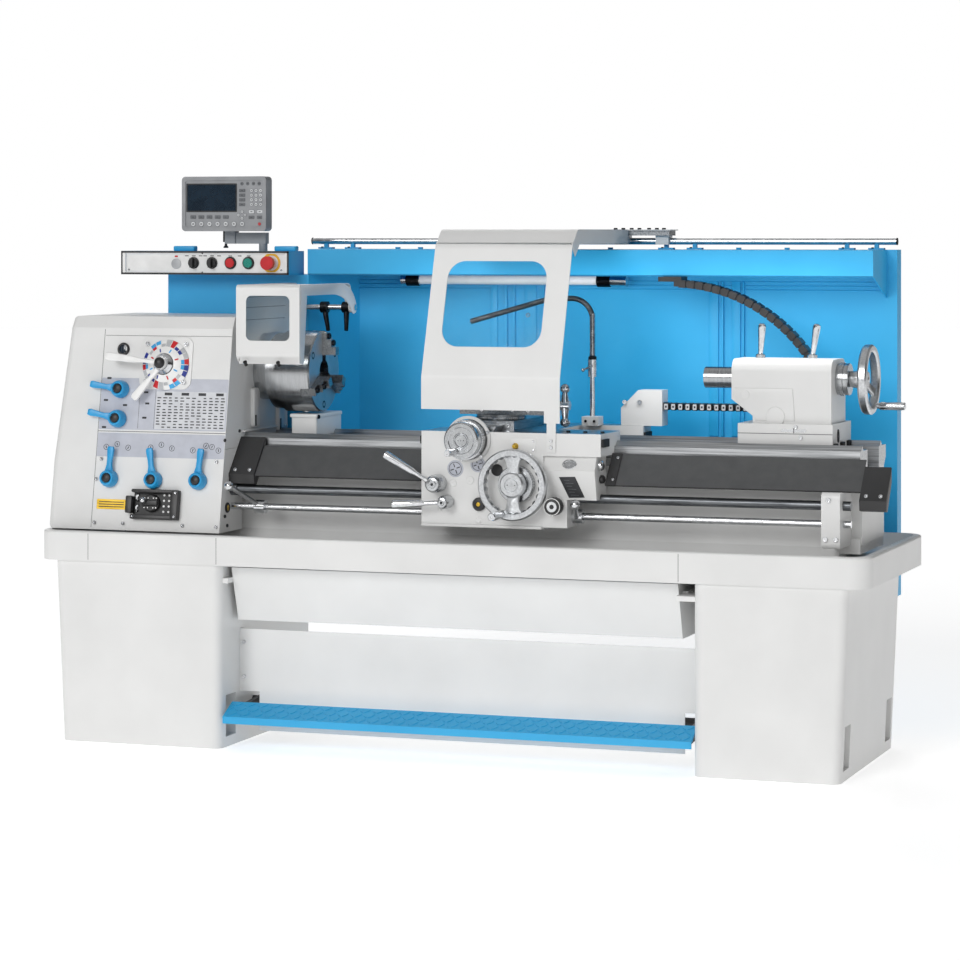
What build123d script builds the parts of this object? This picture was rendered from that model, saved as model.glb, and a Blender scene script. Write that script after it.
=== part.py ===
from build123d import *
import math
import os

os.makedirs("parts", exist_ok=True)

# Centre lathe, millimetres, +Z up. X runs along the bed to the tailstock, Y = 0 is the spindle axis
# and the operator stands at -Y. The floor is Z = 0.

# Shared clearances
slide_gap = 0.3
running_fit = 0.05
panel_seam = 1.0
overrun = 20.0
sheet = 3.0

# Cabinets
cabinet_height = 526.0
cabinet_depth = 684.0
cabinet_front_inset = 8.0
cabinet_corner = 26.0
left_cabinet_inset = 53.0
left_cabinet_width = 528.0
right_cabinet_inset = 58.0
right_cabinet_width = 430.0
cabinet_draft = 24.0
pocket_width = 70.0
pocket_depth = 62.0
pocket_height = 150.0
pocket_floor = 30.0
pocket_inset = 42.0
anchor_radius = 11.0

# Chip tray
tray_length = 2472.0
tray_depth = 756.0
tray_shift = -4.0
tray_height = 86.0
tray_rim = 22.0
tray_floor = 46.0
tray_corner = 62.0
tray_edge = 7.0
chute_margin = 60.0
chute_depth = 520.0

# Chip drawer between the cabinets
drawer_drop = 8.0
drawer_height = 156.0
drawer_front_inset = 52.0
drawer_front_lean = 50.0
drawer_length = 590.0
drawer_wall = 5.0
drawer_right_gap = 38.0
runner_height = 14.0
runner_drop = 30.0
lip_reach = 16.0

# Kick panel and foot brake
kick_setback = 150.0
kick_flange = 30.0
kick_low = 37.0
kick_high = 330.0
kick_notch_width = 62.0
kick_notch_top = 150.0
brake_shaft_radius = 13.0
brake_shaft_setback = 250.0
brake_shaft_height = 110.0
brake_bar_setback = 12.0
brake_bar_width = 68.0
brake_bar_low = 94.0
brake_bar_rise = 34.0
brake_plate = 6.0
brake_lip = 20.0
brake_arm = 12.0
brake_end_gap = 6.0
brake_journal = 24.0

# Bed
bed_left_inset = 180.0
bed_right_inset = 71.0
bed_height = 309.0
bed_width = 330.0
rail_width = 92.0
rail_height = 58.0
rail_undercut = 24.0
web_thickness = 44.0
bed_foot_height = 42.0
bed_overhang = 60.0
bed_overhang_rise = 52.0
rib_thickness = 26.0
rib_count = 11
way_rise = 14.0
way_half = 15.0
front_way_inset = 27.0
rear_way_inset = 66.0

# Headstock, feed gearbox and end cover
centre_height = 190.0
end_cover_inset = 6.0
end_cover_length = 143.0
end_cover_lean = 30.0
end_cover_upright = 190.0
end_cover_round = 22.0
headstock_length = 409.0
headstock_lift = 2.0
headstock_front_inset = 52.0
headstock_lean = 98.0
headstock_rise = 163.0
headstock_fold = 34.0
headstock_fold_in = 18.0
headstock_back_over = 12.0
headstock_split = 240.0

# Spindle and chuck
spindle_radius = 50.0
spindle_bore = 26.0
spindle_tail = 50.0
nose_radius = 86.0
nose_length = 50.0
backplate_radius = 112.0
backplate_length = 34.0
chuck_radius = 120.0
chuck_length = 108.0
chuck_bore = 34.0
chuck_edge = 4.0
jaw_width = 26.0
jaw_depth = 32.0
jaw_inner = 48.0
jaw_outer = 116.0
jaw_reach = 42.0
jaw_step = 22.0
jaw_step_rise = 14.0
jaw_gap = 0.2
cover_bore = 36.0
cover_well = 66.0

# Chuck guard
guard_front = 290.0
guard_low = 30.0
guard_high = 259.0
guard_lip = 24.0
guard_left_gap = 36.0
guard_width = 198.0
guard_top_back = 110.0
guard_pivot_back = 140.0
guard_pivot_height = 186.0
guard_arm_bend = 40.0
guard_arm_width = 28.0
guard_window_width = 136.0
guard_window_height = 130.0
guard_window_low = 98.0
guard_window_round = 10.0
pane_thickness = 3.0
pane_gap = 0.2
pane_lap = 10.0
guard_shaft_radius = 9.0
guard_sleeve_radius = 15.0
guard_block_width = 30.0
guard_block_depth = 40.0
guard_block_spacing = 62.0

# Carriage: saddle, apron and slides
saddle_left = -68.0
saddle_length = 530.0
saddle_front = 296.0
saddle_top_rise = 40.0
saddle_front_drop = 23.0
saddle_front_depth = 186.0
saddle_rear_start = 120.0
saddle_rear_end = 200.0
saddle_keeper_drop = 30.0
bridge_along = 156.0
bridge_length = 190.0
bridge_lift = 16.5
dovetail_width = 92.0
dovetail_flare = 8.0
dovetail_height = 14.0
cross_slide_width = 150.0
cross_slide_height = 26.0
cross_slide_front = 205.0
cross_slide_back = 190.0
swivel_y = -95.0
swivel_radius = 70.0
swivel_height = 14.0
apron_thickness = 104.0
apron_height = 206.0
apron_length = 362.0
apron_round = 14.0
apron_box_length = 152.0
apron_box_height = 122.0
apron_box_slope = 40.0
apron_box_setback = 14.0
apron_bearing_length = 70.0
apron_bearing_height = 58.0
apron_bearing_back = 30.0

# Top slide, tool post and coolant
top_slide_width = 96.0
top_slide_height = 54.0
top_slide_left = 110.0
top_slide_right = 150.0
post_size = 100.0
post_height = 74.0
post_slot = 24.0
post_core = 56.0
post_plate = 18.0
post_stud_radius = 14.0
post_lever_length = 120.0
post_lever_radius = 7.0
post_hub_radius = 26.0
post_hub_height = 30.0
ball_radius = 14.0
top_handle_collar = 30.0
top_handle_collar_length = 28.0
top_handle_length = 48.0
coolant_along = 381.0
coolant_y = 105.0
coolant_block = 50.0
coolant_block_height = 26.0
coolant_pipe = 8.0
coolant_riser = 115.0
coolant_valve_radius = 14.0
coolant_valve_height = 50.0
coolant_rise = 60.0
coolant_bend = 62.0
coolant_reach = 250.0
coolant_dip = 70.0
coolant_top = 110.0

# Apron wheels and levers
carriage_wheel_along = 287.0
carriage_wheel_drop = 80.0
carriage_wheel_radius = 100.0
wheel_rim = 22.0
wheel_rim_depth = 26.0
wheel_spoke = 54.0
wheel_standoff = 30.0
wheel_hub_radius = 30.0
wheel_handle_radius = 12.0
wheel_handle_length = 84.0
cross_wheel_along = 142.0
cross_slide_shift = 28.0
cross_wheel_rise = 41.0
cross_collar_radius = 56.0
cross_collar_length = 42.0
cross_wheel_radius = 52.0
cross_wheel_depth = 26.0
cross_handle_radius = 10.0
cross_handle_inset = 15.0
cross_handle_length = 62.0
feed_lever_along = 52.0
feed_lever_drop = 84.0
feed_lever_length = 158.0
feed_lever_radius = 9.0
feed_hub_radius = 26.0
feed_hub_length = 40.0
nut_lever_along = 80.0
nut_lever_drop = 135.0
nut_lever_length = 142.0
nut_hub_radius = 19.0
apron_knob_along = 402.0
apron_knob_drop = 138.0
apron_knob_radius = 24.0
apron_knob_length = 46.0

# Lead screw, control rod and way covers
screw_setback = 239.0
screw_below = 144.0
screw_radius = 13.0
screw_collar = 19.0
screw_collar_length = 22.0
rod_below = 194.0
rod_radius = 10.0
rod_clearance = 1.0
rod_end = 22.0
start_lever_out = 77.7
start_lever_length = 130.0
start_lever_radius = 7.0
start_hub_radius = 20.0
start_hub_length = 30.0
apron_lever_length = 78.0
bracket_length = 52.0
bracket_right_inset = 30.0
bracket_front = 282.0
bracket_low = 258.0
bracket_high = 106.0
bracket_round = 14.0
cover_top_y = 182.0
cover_top_below = 22.0
cover_low_y = 256.0
cover_low_below = 106.0
cover_thick = 2.0
cover_box_length = 58.0
cover_box_right = 40.0
cover_box_under = 9.0
cover_box_over = 30.0
cover_end_gap = 0.3

# Tailstock
tailstock_inset = 384.0
tailstock_length = 285.0
tailstock_width = 176.0
tailstock_round = 34.0
tailstock_rise = 56.0
tailstock_base_inset = 359.0
tailstock_base_length = 270.0
tailstock_base_width = 228.0
tailstock_base_height = 68.0
tailstock_waist = 56.0
tailstock_slope_length = 61.0
tailstock_slope_drop = 46.0
quill_radius = 30.0
quill_length = 330.0
quill_stickout = 98.0
quill_socket = 12.0
quill_socket_depth = 90.0
tail_collar_radius = 44.0
tail_collar_length = 34.0
tail_wheel_gap = 40.0
tail_wheel_radius = 98.0
tail_shaft_radius = 14.0
tail_handle_length = 82.0
clamp_lever_length = 118.0
clamp_lever_radius = 8.0
clamp_hub_radius = 19.0
clamp_hub_height = 34.0
lock_lever_along = 61.0
clamp_lever_along = 204.0
clamp_lever_y = 30.0

# Splash guard, electrical column and control box
splash_left_out = 62.7
splash_right_inset = 112.0
hood_front = 186.0
hood_low = 282.0
hood_high = 360.0
hood_lip = 18.0
splash_low = 100.0
splash_corner = 92.0
panel_rib_width = 40.0
panel_rib_depth = 16.0
panel_rib_count = 5
splash_back = 428.0
post_width = 30.0
gusset = 62.0
column_inset = 6.7
column_front = 190.0
control_inset = 35.0
control_width = 556.0
control_front = 110.0
control_height = 72.0
control_depth = 120.0
control_skin = 4.0
control_frame = 14.0
stop_along = 495.0
start_along = 423.0
halt_along = 364.0
selector_along = 303.0
selector_pitch = 61.0
stop_radius = 20.5
stop_neck = 12.0
stop_neck_length = 16.0
stop_cap_length = 16.0
button_radius = 14.0
button_length = 9.0
button_sink = 12.0
selector_radius = 14.0
selector_length = 12.0
selector_grip = 9.0
selector_grip_length = 12.0

# Readout on its arm
readout_width = 278.0
readout_height = 166.0
readout_depth = 46.0
readout_along = 339.0
readout_y = 118.0
readout_lift = 60.0
readout_round = 12.0
readout_frame = 12.0
readout_recess = 3.0
readout_pin_along = 442.0
readout_pin_y = 182.0
readout_pin_radius = 13.0
readout_arm_height = 56.0
readout_arm_width = 34.0
readout_arm_drop = 34.0

# Guard rail, shield and lamp
rail_y = 400.0
rail_lift = 24.0
rail_radius = 10.0
rail_left_over = 72.0
rail_right_over = 26.0
rail_neck = 12.0
rail_foot = 46.0
rail_foot_height = 5.0
rail_pair_pitch = 88.0
rail_first_pair = 25.0
rail_middle_pair = 672.0
rail_last_pair = 124.0
shield_along = 2.0
shield_width = 411.0
shield_front = 304.0
shield_low = 88.0
shield_bend = 2.0
shield_lean_top = 372.0
shield_lean_back = 118.0
shield_top = 419.0
shield_crown = 50.0
shield_round = 38.0
shield_flange = 42.0
shield_window_left = 47.0
shield_window_width = 297.0
shield_window_low = 88.0
shield_window_height = 241.0
shield_window_round = 50.0
shield_tab_width = 46.0
shield_tab_drop = 34.0
link_width = 26.0
link_left = 372.0
link_low = 15.0
link_rise = 68.0
slider_along = 354.0
slider_length = 190.0
slider_depth = 84.0
slider_block = 40.0
slider_wall = 12.0
slider_open = 17.0
slider_clear = 0.4
lamp_along = 263.0
lamp_length = 712.0
lamp_y = 300.0
lamp_drop = 14.0
lamp_radius = 14.0
lamp_cap_radius = 18.0
lamp_cap_length = 60.0
lamp_bracket = 30.0

# Cable chain
chain_bracket_along = 460.0
chain_bracket_length = 124.0
chain_bracket_depth = 60.0
chain_bracket_height = 103.0
chain_bracket_cut = 52.0
chain_y = 160.0
chain_width = 46.0
chain_thick = 22.0
chain_core = 16.0
chain_core_width = 38.0
chain_pitch = 26.0
chain_link = 20.0
chain_lower_rise = 96.0
chain_loop_inset = 260.0
chain_loop_radius = 74.0
chain_top_inset = 617.0
chain_top_drop = 20.0
chain_anchor = 14.0

# Levers on the headstock face, as (distance from its left side, height up the face)
gear_levers = ((65.7, 412.0), (63.7, 325.0), (50.7, 149.0), (192.7, 148.0), (334.7, 149.0))
gear_lever_angles = (172.0, 169.0, 87.0, 99.0, 85.0)
gear_lever_length = 74.0
gear_hub_radius = 26.0
gear_hub_height = 20.0
gear_arm_low = 8.0
gear_arm_height = 12.0
gear_arm_root = 13.0
gear_arm_tip = 9.0
speed_along = 206.7
speed_up = 486.0
speed_angles = (174.0, 231.0)
long_speed_arm = 174.0
long_speed_hub = 18.0
long_speed_level = 50.0
short_speed_arm = 136.0
short_speed_hub = 30.0
short_speed_level = 26.0
speed_arm_height = 12.0
feed_select_along = 191.7
feed_select_up = 81.0
feed_select_radius = 26.0
feed_select_height = 24.0
feed_select_grip = 12.0

# Levels and stations that follow from the values above
tray_left = -tray_length / 2
tray_right = tray_length / 2
tray_front = tray_shift - tray_depth / 2
tray_back = tray_shift + tray_depth / 2
tray_top = cabinet_height + tray_height
deck = cabinet_height + tray_floor
cabinet_front = tray_front + cabinet_front_inset
cabinet_back = cabinet_front + cabinet_depth
left_out = tray_left + left_cabinet_inset
left_in = left_out + left_cabinet_width
right_out = tray_right - right_cabinet_inset
right_in = right_out - right_cabinet_width
bed_left = tray_left + bed_left_inset
bed_right = tray_right - bed_right_inset
bed_top = deck + bed_height
bed_half = bed_width / 2
axis = bed_top + centre_height
cover_left = tray_left + end_cover_inset
cover_right = cover_left + end_cover_length
head_left = cover_right + slide_gap
head_right = head_left + headstock_length
head_low = tray_top + headstock_lift
head_top = axis + headstock_rise
face_low_y = tray_front + headstock_front_inset
face_top = head_top - headstock_fold
head_back = bed_half + headstock_back_over
head_split = head_low + headstock_split
saddle_right = saddle_left + saddle_length
speed_x = head_left + speed_along
feed_select_x = head_left + feed_select_along
start_lever_x = head_right + start_lever_out
splash_left = head_right + splash_left_out
splash_right = tray_right - splash_right_inset
column_left = head_left + column_inset
control_left = tray_left + control_inset
stop_x = control_left + stop_along
start_x = control_left + start_along
halt_x = control_left + halt_along
selector_x = control_left + selector_along
readout_x = control_left + readout_along
readout_pin_x = control_left + readout_pin_along
rail_left = splash_left - rail_left_over
rail_right = splash_right + rail_right_over
rail_pairs = (splash_left - rail_first_pair, splash_right - rail_middle_pair, splash_right - rail_last_pair)
lamp_left = splash_left + lamp_along
shield_left = saddle_left + shield_along
slider_left = saddle_left + slider_along
chain_bracket_left = saddle_left + chain_bracket_along
coolant_x = saddle_left + coolant_along
carriage_wheel_x = saddle_left + carriage_wheel_along
cross_wheel_x = saddle_left + cross_wheel_along
feed_lever_x = saddle_left + feed_lever_along
nut_lever_x = saddle_left + nut_lever_along
apron_knob_x = saddle_left + apron_knob_along
bridge_left = saddle_left + bridge_along
tailstock_left = bed_right - tailstock_inset
tailstock_base_left = bed_right - tailstock_base_inset
lock_lever_x = tailstock_left + lock_lever_along
clamp_lever_x = tailstock_left + clamp_lever_along
chain_loop_x = bed_right - chain_loop_inset
chain_top_x = bed_right - chain_top_inset
saddle_top = bed_top + saddle_top_rise
apron_top = bed_top - saddle_front_drop
screw_z = bed_top - screw_below
rod_z = bed_top - rod_below
hood_bottom = axis + hood_low
hood_top = axis + hood_high
rail_z = hood_top + rail_lift
cross_x = cross_wheel_x + cross_slide_shift
cross_top = saddle_top + slide_gap + cross_slide_height
swivel_top = cross_top + swivel_height
top_slide_top = swivel_top + top_slide_height
nose_right = head_right + nose_length
chuck_left = nose_right + backplate_length
chuck_right = chuck_left + chuck_length
bracket_left = bed_right - bracket_right_inset - bracket_length
cover_left_end = head_right + cover_box_length
cover_right_start = bed_right - cover_box_length + cover_box_right
pivot_z = axis + guard_pivot_height
guard_left = head_right + guard_left_gap
quill_left = tailstock_left - quill_stickout
chain_z = bed_top + chain_lower_rise
chain_end = chain_bracket_left + chain_bracket_length
way_front_y = -bed_half + front_way_inset
way_rear_y = bed_half - rear_way_inset

lean_length = math.hypot(headstock_lean, face_top - head_low)
face = Plane(
    origin=(0, face_low_y, head_low),
    x_dir=(1, 0, 0),
    z_dir=(0, -(face_top - head_low) / lean_length, headstock_lean / lean_length),
)


def face_y(z):
    """Y of the leaning headstock face at height z."""
    return face_low_y + headstock_lean * (z - head_low) / (face_top - head_low)


def block(x, y, z, mode=Mode.ADD):
    """Box between pairs of X, Y and Z."""
    with Locations(((x[0] + x[1]) / 2, (y[0] + y[1]) / 2, (z[0] + z[1]) / 2)):
        Box(x[1] - x[0], y[1] - y[0], z[1] - z[0], mode=mode)


def pin(start, end, radius, mode=Mode.ADD):
    """Cylinder between two points."""
    run = Vector(*end) - Vector(*start)
    with Locations(Plane(origin=start, z_dir=run).location):
        Cylinder(radius, run.length, align=(Align.CENTER, Align.CENTER, Align.MIN), mode=mode)


def cone(start, end, radius, end_radius):
    """Tapered bar between two points."""
    run = Vector(*end) - Vector(*start)
    with Locations(Plane(origin=start, z_dir=run).location):
        Cone(radius, end_radius, run.length, align=(Align.CENTER, Align.CENTER, Align.MIN))


def ball(centre, radius):
    """Sphere at a point."""
    with Locations(centre):
        Sphere(radius)


def prism(plane, points, amount, mode=Mode.ADD):
    """Closed polygon on a plane, extruded along its normal."""
    with BuildSketch(plane) as outline:
        with BuildLine():
            Polyline(*points, close=True)
        make_face()
    extrude(outline.sketch, amount=amount, mode=mode)


def along_x(x0, x1, points, mode=Mode.ADD):
    """Polygon of (y, z) points run along X."""
    prism(Plane.YZ.offset(x0), points, x1 - x0, mode)


def along_y(y0, y1, points, mode=Mode.ADD):
    """Polygon of (x, z) points run from y1 forward to y0."""
    prism(Plane.XZ.offset(-y1), points, y1 - y0, mode)


def bent_sheet(x0, x1, points, radius, thickness, mode=Mode.ADD):
    """Folded sheet: a rounded (y, z) path, thickened inward and run along X."""
    with BuildSketch(Plane.YZ.offset(x0)) as outline:
        with BuildLine():
            FilletPolyline(*points, radius=radius)
            offset(amount=thickness, side=Side.RIGHT)
        make_face()
    extrude(outline.sketch, amount=x1 - x0, mode=mode)


def rounded_slab(plane, centre, size, radius, amount, mode=Mode.ADD):
    """Rounded rectangle on a plane, extruded along its normal."""
    with BuildSketch(plane) as outline:
        with Locations(centre):
            RectangleRounded(size[0], size[1], radius)
    extrude(outline.sketch, amount=amount, mode=mode)


def tapered_arm(plane, start, end, root, tip, amount):
    """Flat lever arm between two circles on a plane."""
    with BuildSketch(plane) as outline:
        with Locations(start):
            Circle(root)
        with Locations(end):
            Circle(tip)
        make_hull()
    extrude(outline.sketch, amount=amount)


def cabinet(floor_x, top_x):
    """Cast cabinet with drafted outer side and pockets for the levelling bolts."""
    middle = (cabinet_front + cabinet_back) / 2
    with BuildSketch(Plane.XY) as floor_outline:
        with Locations(((floor_x[0] + floor_x[1]) / 2, middle)):
            RectangleRounded(floor_x[1] - floor_x[0], cabinet_depth, cabinet_corner)
    with BuildSketch(Plane.XY.offset(cabinet_height)) as top_outline:
        with Locations(((top_x[0] + top_x[1]) / 2, middle)):
            RectangleRounded(top_x[1] - top_x[0], cabinet_depth, cabinet_corner)
    loft([floor_outline.sketch, top_outline.sketch])
    near = cabinet_front + pocket_inset
    far = cabinet_back - pocket_inset
    for y0, y1 in ((near, near + pocket_width), (far - pocket_width, far)):
        for x0, x1, hole_x in (
            (floor_x[0] - overrun, floor_x[0] + pocket_depth, floor_x[0] + pocket_depth / 2),
            (floor_x[1] - pocket_depth, floor_x[1] + overrun, floor_x[1] - pocket_depth / 2),
        ):
            block((x0, x1), (y0, y1), (pocket_floor, pocket_height), Mode.SUBTRACT)
            middle_y = (y0 + y1) / 2
            pin((hole_x, middle_y, -overrun), (hole_x, middle_y, pocket_floor + overrun), anchor_radius,
                    Mode.SUBTRACT)


# Cabinets with the drawer runners and the brake shaft bearings
shaft_y = tray_front + brake_shaft_setback
drawer_top = cabinet_height - drawer_drop
runner_top = drawer_top - runner_drop
drawer_back = tray_front + drawer_front_inset + drawer_length

with BuildPart() as headstock_cabinet:
    cabinet((left_out + cabinet_draft, left_in), (left_out, left_in))
    block((left_in - overrun, left_in + lip_reach), (cabinet_front + overrun, drawer_back),
            (runner_top - runner_height, runner_top))
    pin((left_in - brake_journal, shaft_y, brake_shaft_height),
            (left_in + overrun, shaft_y, brake_shaft_height),
        brake_shaft_radius + running_fit, Mode.SUBTRACT)
headstock_cabinet.part.label = "headstock_cabinet"
export_step(headstock_cabinet.part, "parts/headstock_cabinet.step")

with BuildPart() as tailstock_cabinet:
    cabinet((right_in, right_out - cabinet_draft), (right_in, right_out))
    block((right_in - drawer_right_gap - lip_reach, right_in + overrun),
            (cabinet_front + overrun, drawer_back),
          (runner_top - runner_height, runner_top))
    pin((right_in - overrun, shaft_y, brake_shaft_height),
            (right_in + brake_journal, shaft_y, brake_shaft_height),
        brake_shaft_radius + running_fit, Mode.SUBTRACT)
tailstock_cabinet.part.label = "tailstock_cabinet"
export_step(tailstock_cabinet.part, "parts/tailstock_cabinet.step")

# Tray: rounded rim, sunk deck, chute over the drawer
with BuildPart() as chip_tray:
    rounded_slab(Plane.XY.offset(cabinet_height), (0, tray_shift), (tray_length, tray_depth), tray_corner,
            tray_height)
    fillet(chip_tray.faces().sort_by(Axis.Z)[-1].edges(), tray_edge)
    rounded_slab(Plane.XY.offset(deck), (0, tray_shift),
            (tray_length - 2 * tray_rim, tray_depth - 2 * tray_rim),
                 tray_corner - tray_rim, tray_height, Mode.SUBTRACT)
    block((left_in + chute_margin, right_in - chute_margin),
            (tray_shift - chute_depth / 2, tray_shift + chute_depth / 2),
          (cabinet_height - overrun, deck + overrun), Mode.SUBTRACT)
chip_tray.part.label = "chip_tray"
export_step(chip_tray.part, "parts/chip_tray.step")

# Drawer: open pan with a leaning front and side lips on the runners
drawer_left = left_in + lip_reach + slide_gap
drawer_right = right_in - drawer_right_gap - lip_reach - slide_gap
drawer_low = drawer_top - drawer_height
drawer_face = tray_front + drawer_front_inset
pan = (
    (drawer_face, drawer_top),
    (drawer_face + drawer_front_lean, drawer_low),
    (drawer_back - drawer_front_lean, drawer_low),
    (drawer_back, drawer_top),
)
hollow = (
    (drawer_face + drawer_wall, drawer_top + overrun),
    (drawer_face + drawer_wall, drawer_top),
    (drawer_face + drawer_front_lean + drawer_wall, drawer_low + drawer_wall),
    (drawer_back - drawer_front_lean - drawer_wall, drawer_low + drawer_wall),
    (drawer_back - drawer_wall, drawer_top),
    (drawer_back - drawer_wall, drawer_top + overrun),
)
with BuildPart() as chip_drawer:
    along_x(drawer_left, drawer_right, pan)
    along_x(drawer_left + drawer_wall, drawer_right - drawer_wall, hollow, Mode.SUBTRACT)
    for x0, x1 in ((left_in + slide_gap, drawer_left + drawer_wall),
                   (drawer_right - drawer_wall, drawer_right + lip_reach)):
        block((x0, x1), (drawer_face + drawer_front_lean, drawer_back),
                (runner_top + slide_gap, runner_top + slide_gap + drawer_wall))
chip_drawer.part.label = "chip_drawer"
export_step(chip_drawer.part, "parts/chip_drawer.step")

# Kick panel: folded plate with notches for the brake arms
kick_y = tray_front + kick_setback
with BuildPart() as kick_panel:
    prism(Plane.XY.offset(kick_low), (
        (left_in, kick_y), (right_in, kick_y), (right_in, kick_y + kick_flange), (right_in - sheet,
                kick_y + kick_flange),
        (right_in - sheet, kick_y + sheet), (left_in + sheet, kick_y + sheet), (left_in + sheet,
                kick_y + kick_flange),
        (left_in, kick_y + kick_flange)), kick_high - kick_low)
    for x0, x1 in ((left_in - overrun, left_in + kick_notch_width),
            (right_in - kick_notch_width, right_in + overrun)):
        block((x0, x1), (kick_y - overrun, kick_y + kick_flange + overrun),
                (kick_low - overrun, kick_notch_top), Mode.SUBTRACT)
kick_panel.part.label = "kick_panel"
export_step(kick_panel.part, "parts/kick_panel.step")

# Foot brake: chequer bar on two arms from a cross shaft
bar_front = tray_front + brake_bar_setback
bar_back = bar_front + brake_bar_width
bar_high = brake_bar_low + brake_bar_rise
with BuildPart() as foot_brake:
    pin((left_in - brake_journal + slide_gap, shaft_y, brake_shaft_height),
        (right_in + brake_journal - slide_gap, shaft_y, brake_shaft_height), brake_shaft_radius)
    along_x(left_in + brake_end_gap, right_in - brake_end_gap, (
        (bar_front, brake_bar_low), (bar_front, brake_bar_low - brake_lip), (bar_front + brake_plate,
                brake_bar_low - brake_lip),
        (bar_front + brake_plate, brake_bar_low - brake_plate), (bar_back,
                bar_high - brake_plate), (bar_back, bar_high)))
    for x0 in (left_in + kick_notch_width / 2, right_in - kick_notch_width / 2):
        tapered_arm(Plane.YZ.offset(x0 - brake_arm / 2), (shaft_y, brake_shaft_height),
                (bar_back - brake_lip, brake_bar_low),
                    brake_shaft_radius + brake_plate, brake_lip, brake_arm)
foot_brake.part.label = "foot_brake"
export_step(foot_brake.part, "parts/foot_brake.step")

# Bed: two ribbed walls under the ways, end overhang, lead screw end bracket
with BuildPart() as bed:
    for side in (-1, 1):
        outer = side * bed_half
        inner = side * (bed_half - rail_width)
        web_out = side * (bed_half - rail_undercut)
        web_in = side * (bed_half - rail_undercut - web_thickness)
        along_x(bed_left, bed_right, (
            (outer, bed_top), (outer, bed_top - rail_height + rail_undercut), (web_out,
                    bed_top - rail_height),
            (web_out, deck + bed_foot_height), (outer, deck + bed_foot_height - rail_undercut), (outer,
                    deck),
            (inner, deck), (inner, deck + bed_foot_height), (web_in, deck + bed_foot_height),
            (web_in, bed_top - rail_height), (inner, bed_top - rail_height), (inner, bed_top)))
    for way_y in (way_front_y, way_rear_y):
        along_x(head_right, bed_right, ((way_y - way_half, bed_top), (way_y + way_half, bed_top), (way_y,
                bed_top + way_rise)))
    rib_half = bed_half - rail_undercut - web_thickness / 2
    rib_step = (bed_right - bed_left - rib_thickness) / (rib_count - 1)
    for index in range(rib_count):
        x0 = bed_left + index * rib_step
        block((x0, x0 + rib_thickness), (-rib_half, rib_half), (deck, bed_top - rail_height))
    block((bed_right - bed_overhang, bed_right + overrun), (-bed_half - overrun, bed_half + overrun),
          (deck - overrun, deck + bed_overhang_rise), Mode.SUBTRACT)
    rounded_slab(Plane.YZ.offset(bracket_left), ((-bracket_front - bed_half + rail_undercut) / 2,
            bed_top - (bracket_low + bracket_high) / 2),
                 (bracket_front - bed_half + rail_undercut,
                         bracket_low - bracket_high), bracket_round, bracket_length)
    block((bracket_left, bracket_left + bracket_length),
            (-bed_half + rail_undercut - bracket_round, -bed_half + rail_undercut + web_thickness / 2),
          (bed_top - bracket_low, bed_top - bracket_high))
    for z, radius in ((screw_z, screw_radius), (rod_z, rod_radius)):
        pin((bracket_left - overrun, -screw_setback, z),
                (bracket_left + bracket_length + overrun, -screw_setback, z),
            radius + running_fit, Mode.SUBTRACT)
bed.part.label = "bed"
export_step(bed.part, "parts/bed.step")

# Headstock over the bed with the feed gearbox in front of it
with BuildPart() as headstock:
    along_x(head_left, head_right, (
        (face_y(head_split), head_split), (face_y(face_top),
                face_top), (face_y(face_top) + headstock_fold_in, head_top),
        (head_back, head_top), (head_back, bed_top), (-bed_half, bed_top), (-bed_half, head_split)))
    along_x(head_left, head_right, (
        (face_y(head_low), head_low), (face_y(head_split - panel_seam), head_split - panel_seam),
        (-bed_half, head_split - panel_seam), (-bed_half, head_low)))
    pin((head_left - overrun, 0, axis), (head_right + overrun, 0, axis), spindle_radius + running_fit,
            Mode.SUBTRACT)
    for z, radius in ((screw_z, screw_radius), (rod_z, rod_radius)):
        pin((head_right - rod_end, -screw_setback, z), (head_right + overrun, -screw_setback, z),
                radius + running_fit, Mode.SUBTRACT)
headstock.part.label = "headstock"
export_step(headstock.part, "parts/headstock.step")

# End cover with a leaning left side and a hole in line with the spindle
with BuildPart() as end_cover:
    along_x(cover_left, cover_right, (
        (face_y(head_low), head_low), (face_y(face_top), face_top), (face_y(face_top) + headstock_fold_in,
                head_top),
        (head_back, head_top), (head_back, head_low)))
    along_y(face_low_y - overrun, head_back + overrun, (
        (cover_left - overrun, head_low + end_cover_upright), (cover_left, head_low + end_cover_upright),
        (cover_left + end_cover_lean, head_top + overrun), (cover_left - overrun,
                head_top + overrun)), Mode.SUBTRACT)
    fillet(end_cover.edges().filter_by_position(Axis.X, cover_left - slide_gap,
            cover_left + end_cover_lean + slide_gap), end_cover_round)
    pin((cover_left - overrun, 0, axis), (cover_right + overrun, 0, axis), cover_bore, Mode.SUBTRACT)
    pin((head_left - spindle_tail - overrun, 0, axis), (cover_right + overrun, 0, axis), cover_well,
            Mode.SUBTRACT)
end_cover.part.label = "end_cover"
export_step(end_cover.part, "parts/end_cover.step")


# Levers on the leaning face
def face_lever(spot, angle, length, hub_radius, hub_height, arm_low, arm_height, root, tip):
    """Round hub on the headstock face with a flat arm that turns about the face normal."""
    start = (spot[0], spot[1])
    end = (spot[0] + length * math.cos(math.radians(angle)),
            spot[1] + length * math.sin(math.radians(angle)))
    with Locations(face.location * Location((spot[0], spot[1], slide_gap))):
        Cylinder(hub_radius, hub_height, align=(Align.CENTER, Align.CENTER, Align.MIN))
    tapered_arm(face.offset(arm_low), start, end, root, tip, arm_height)


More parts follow.
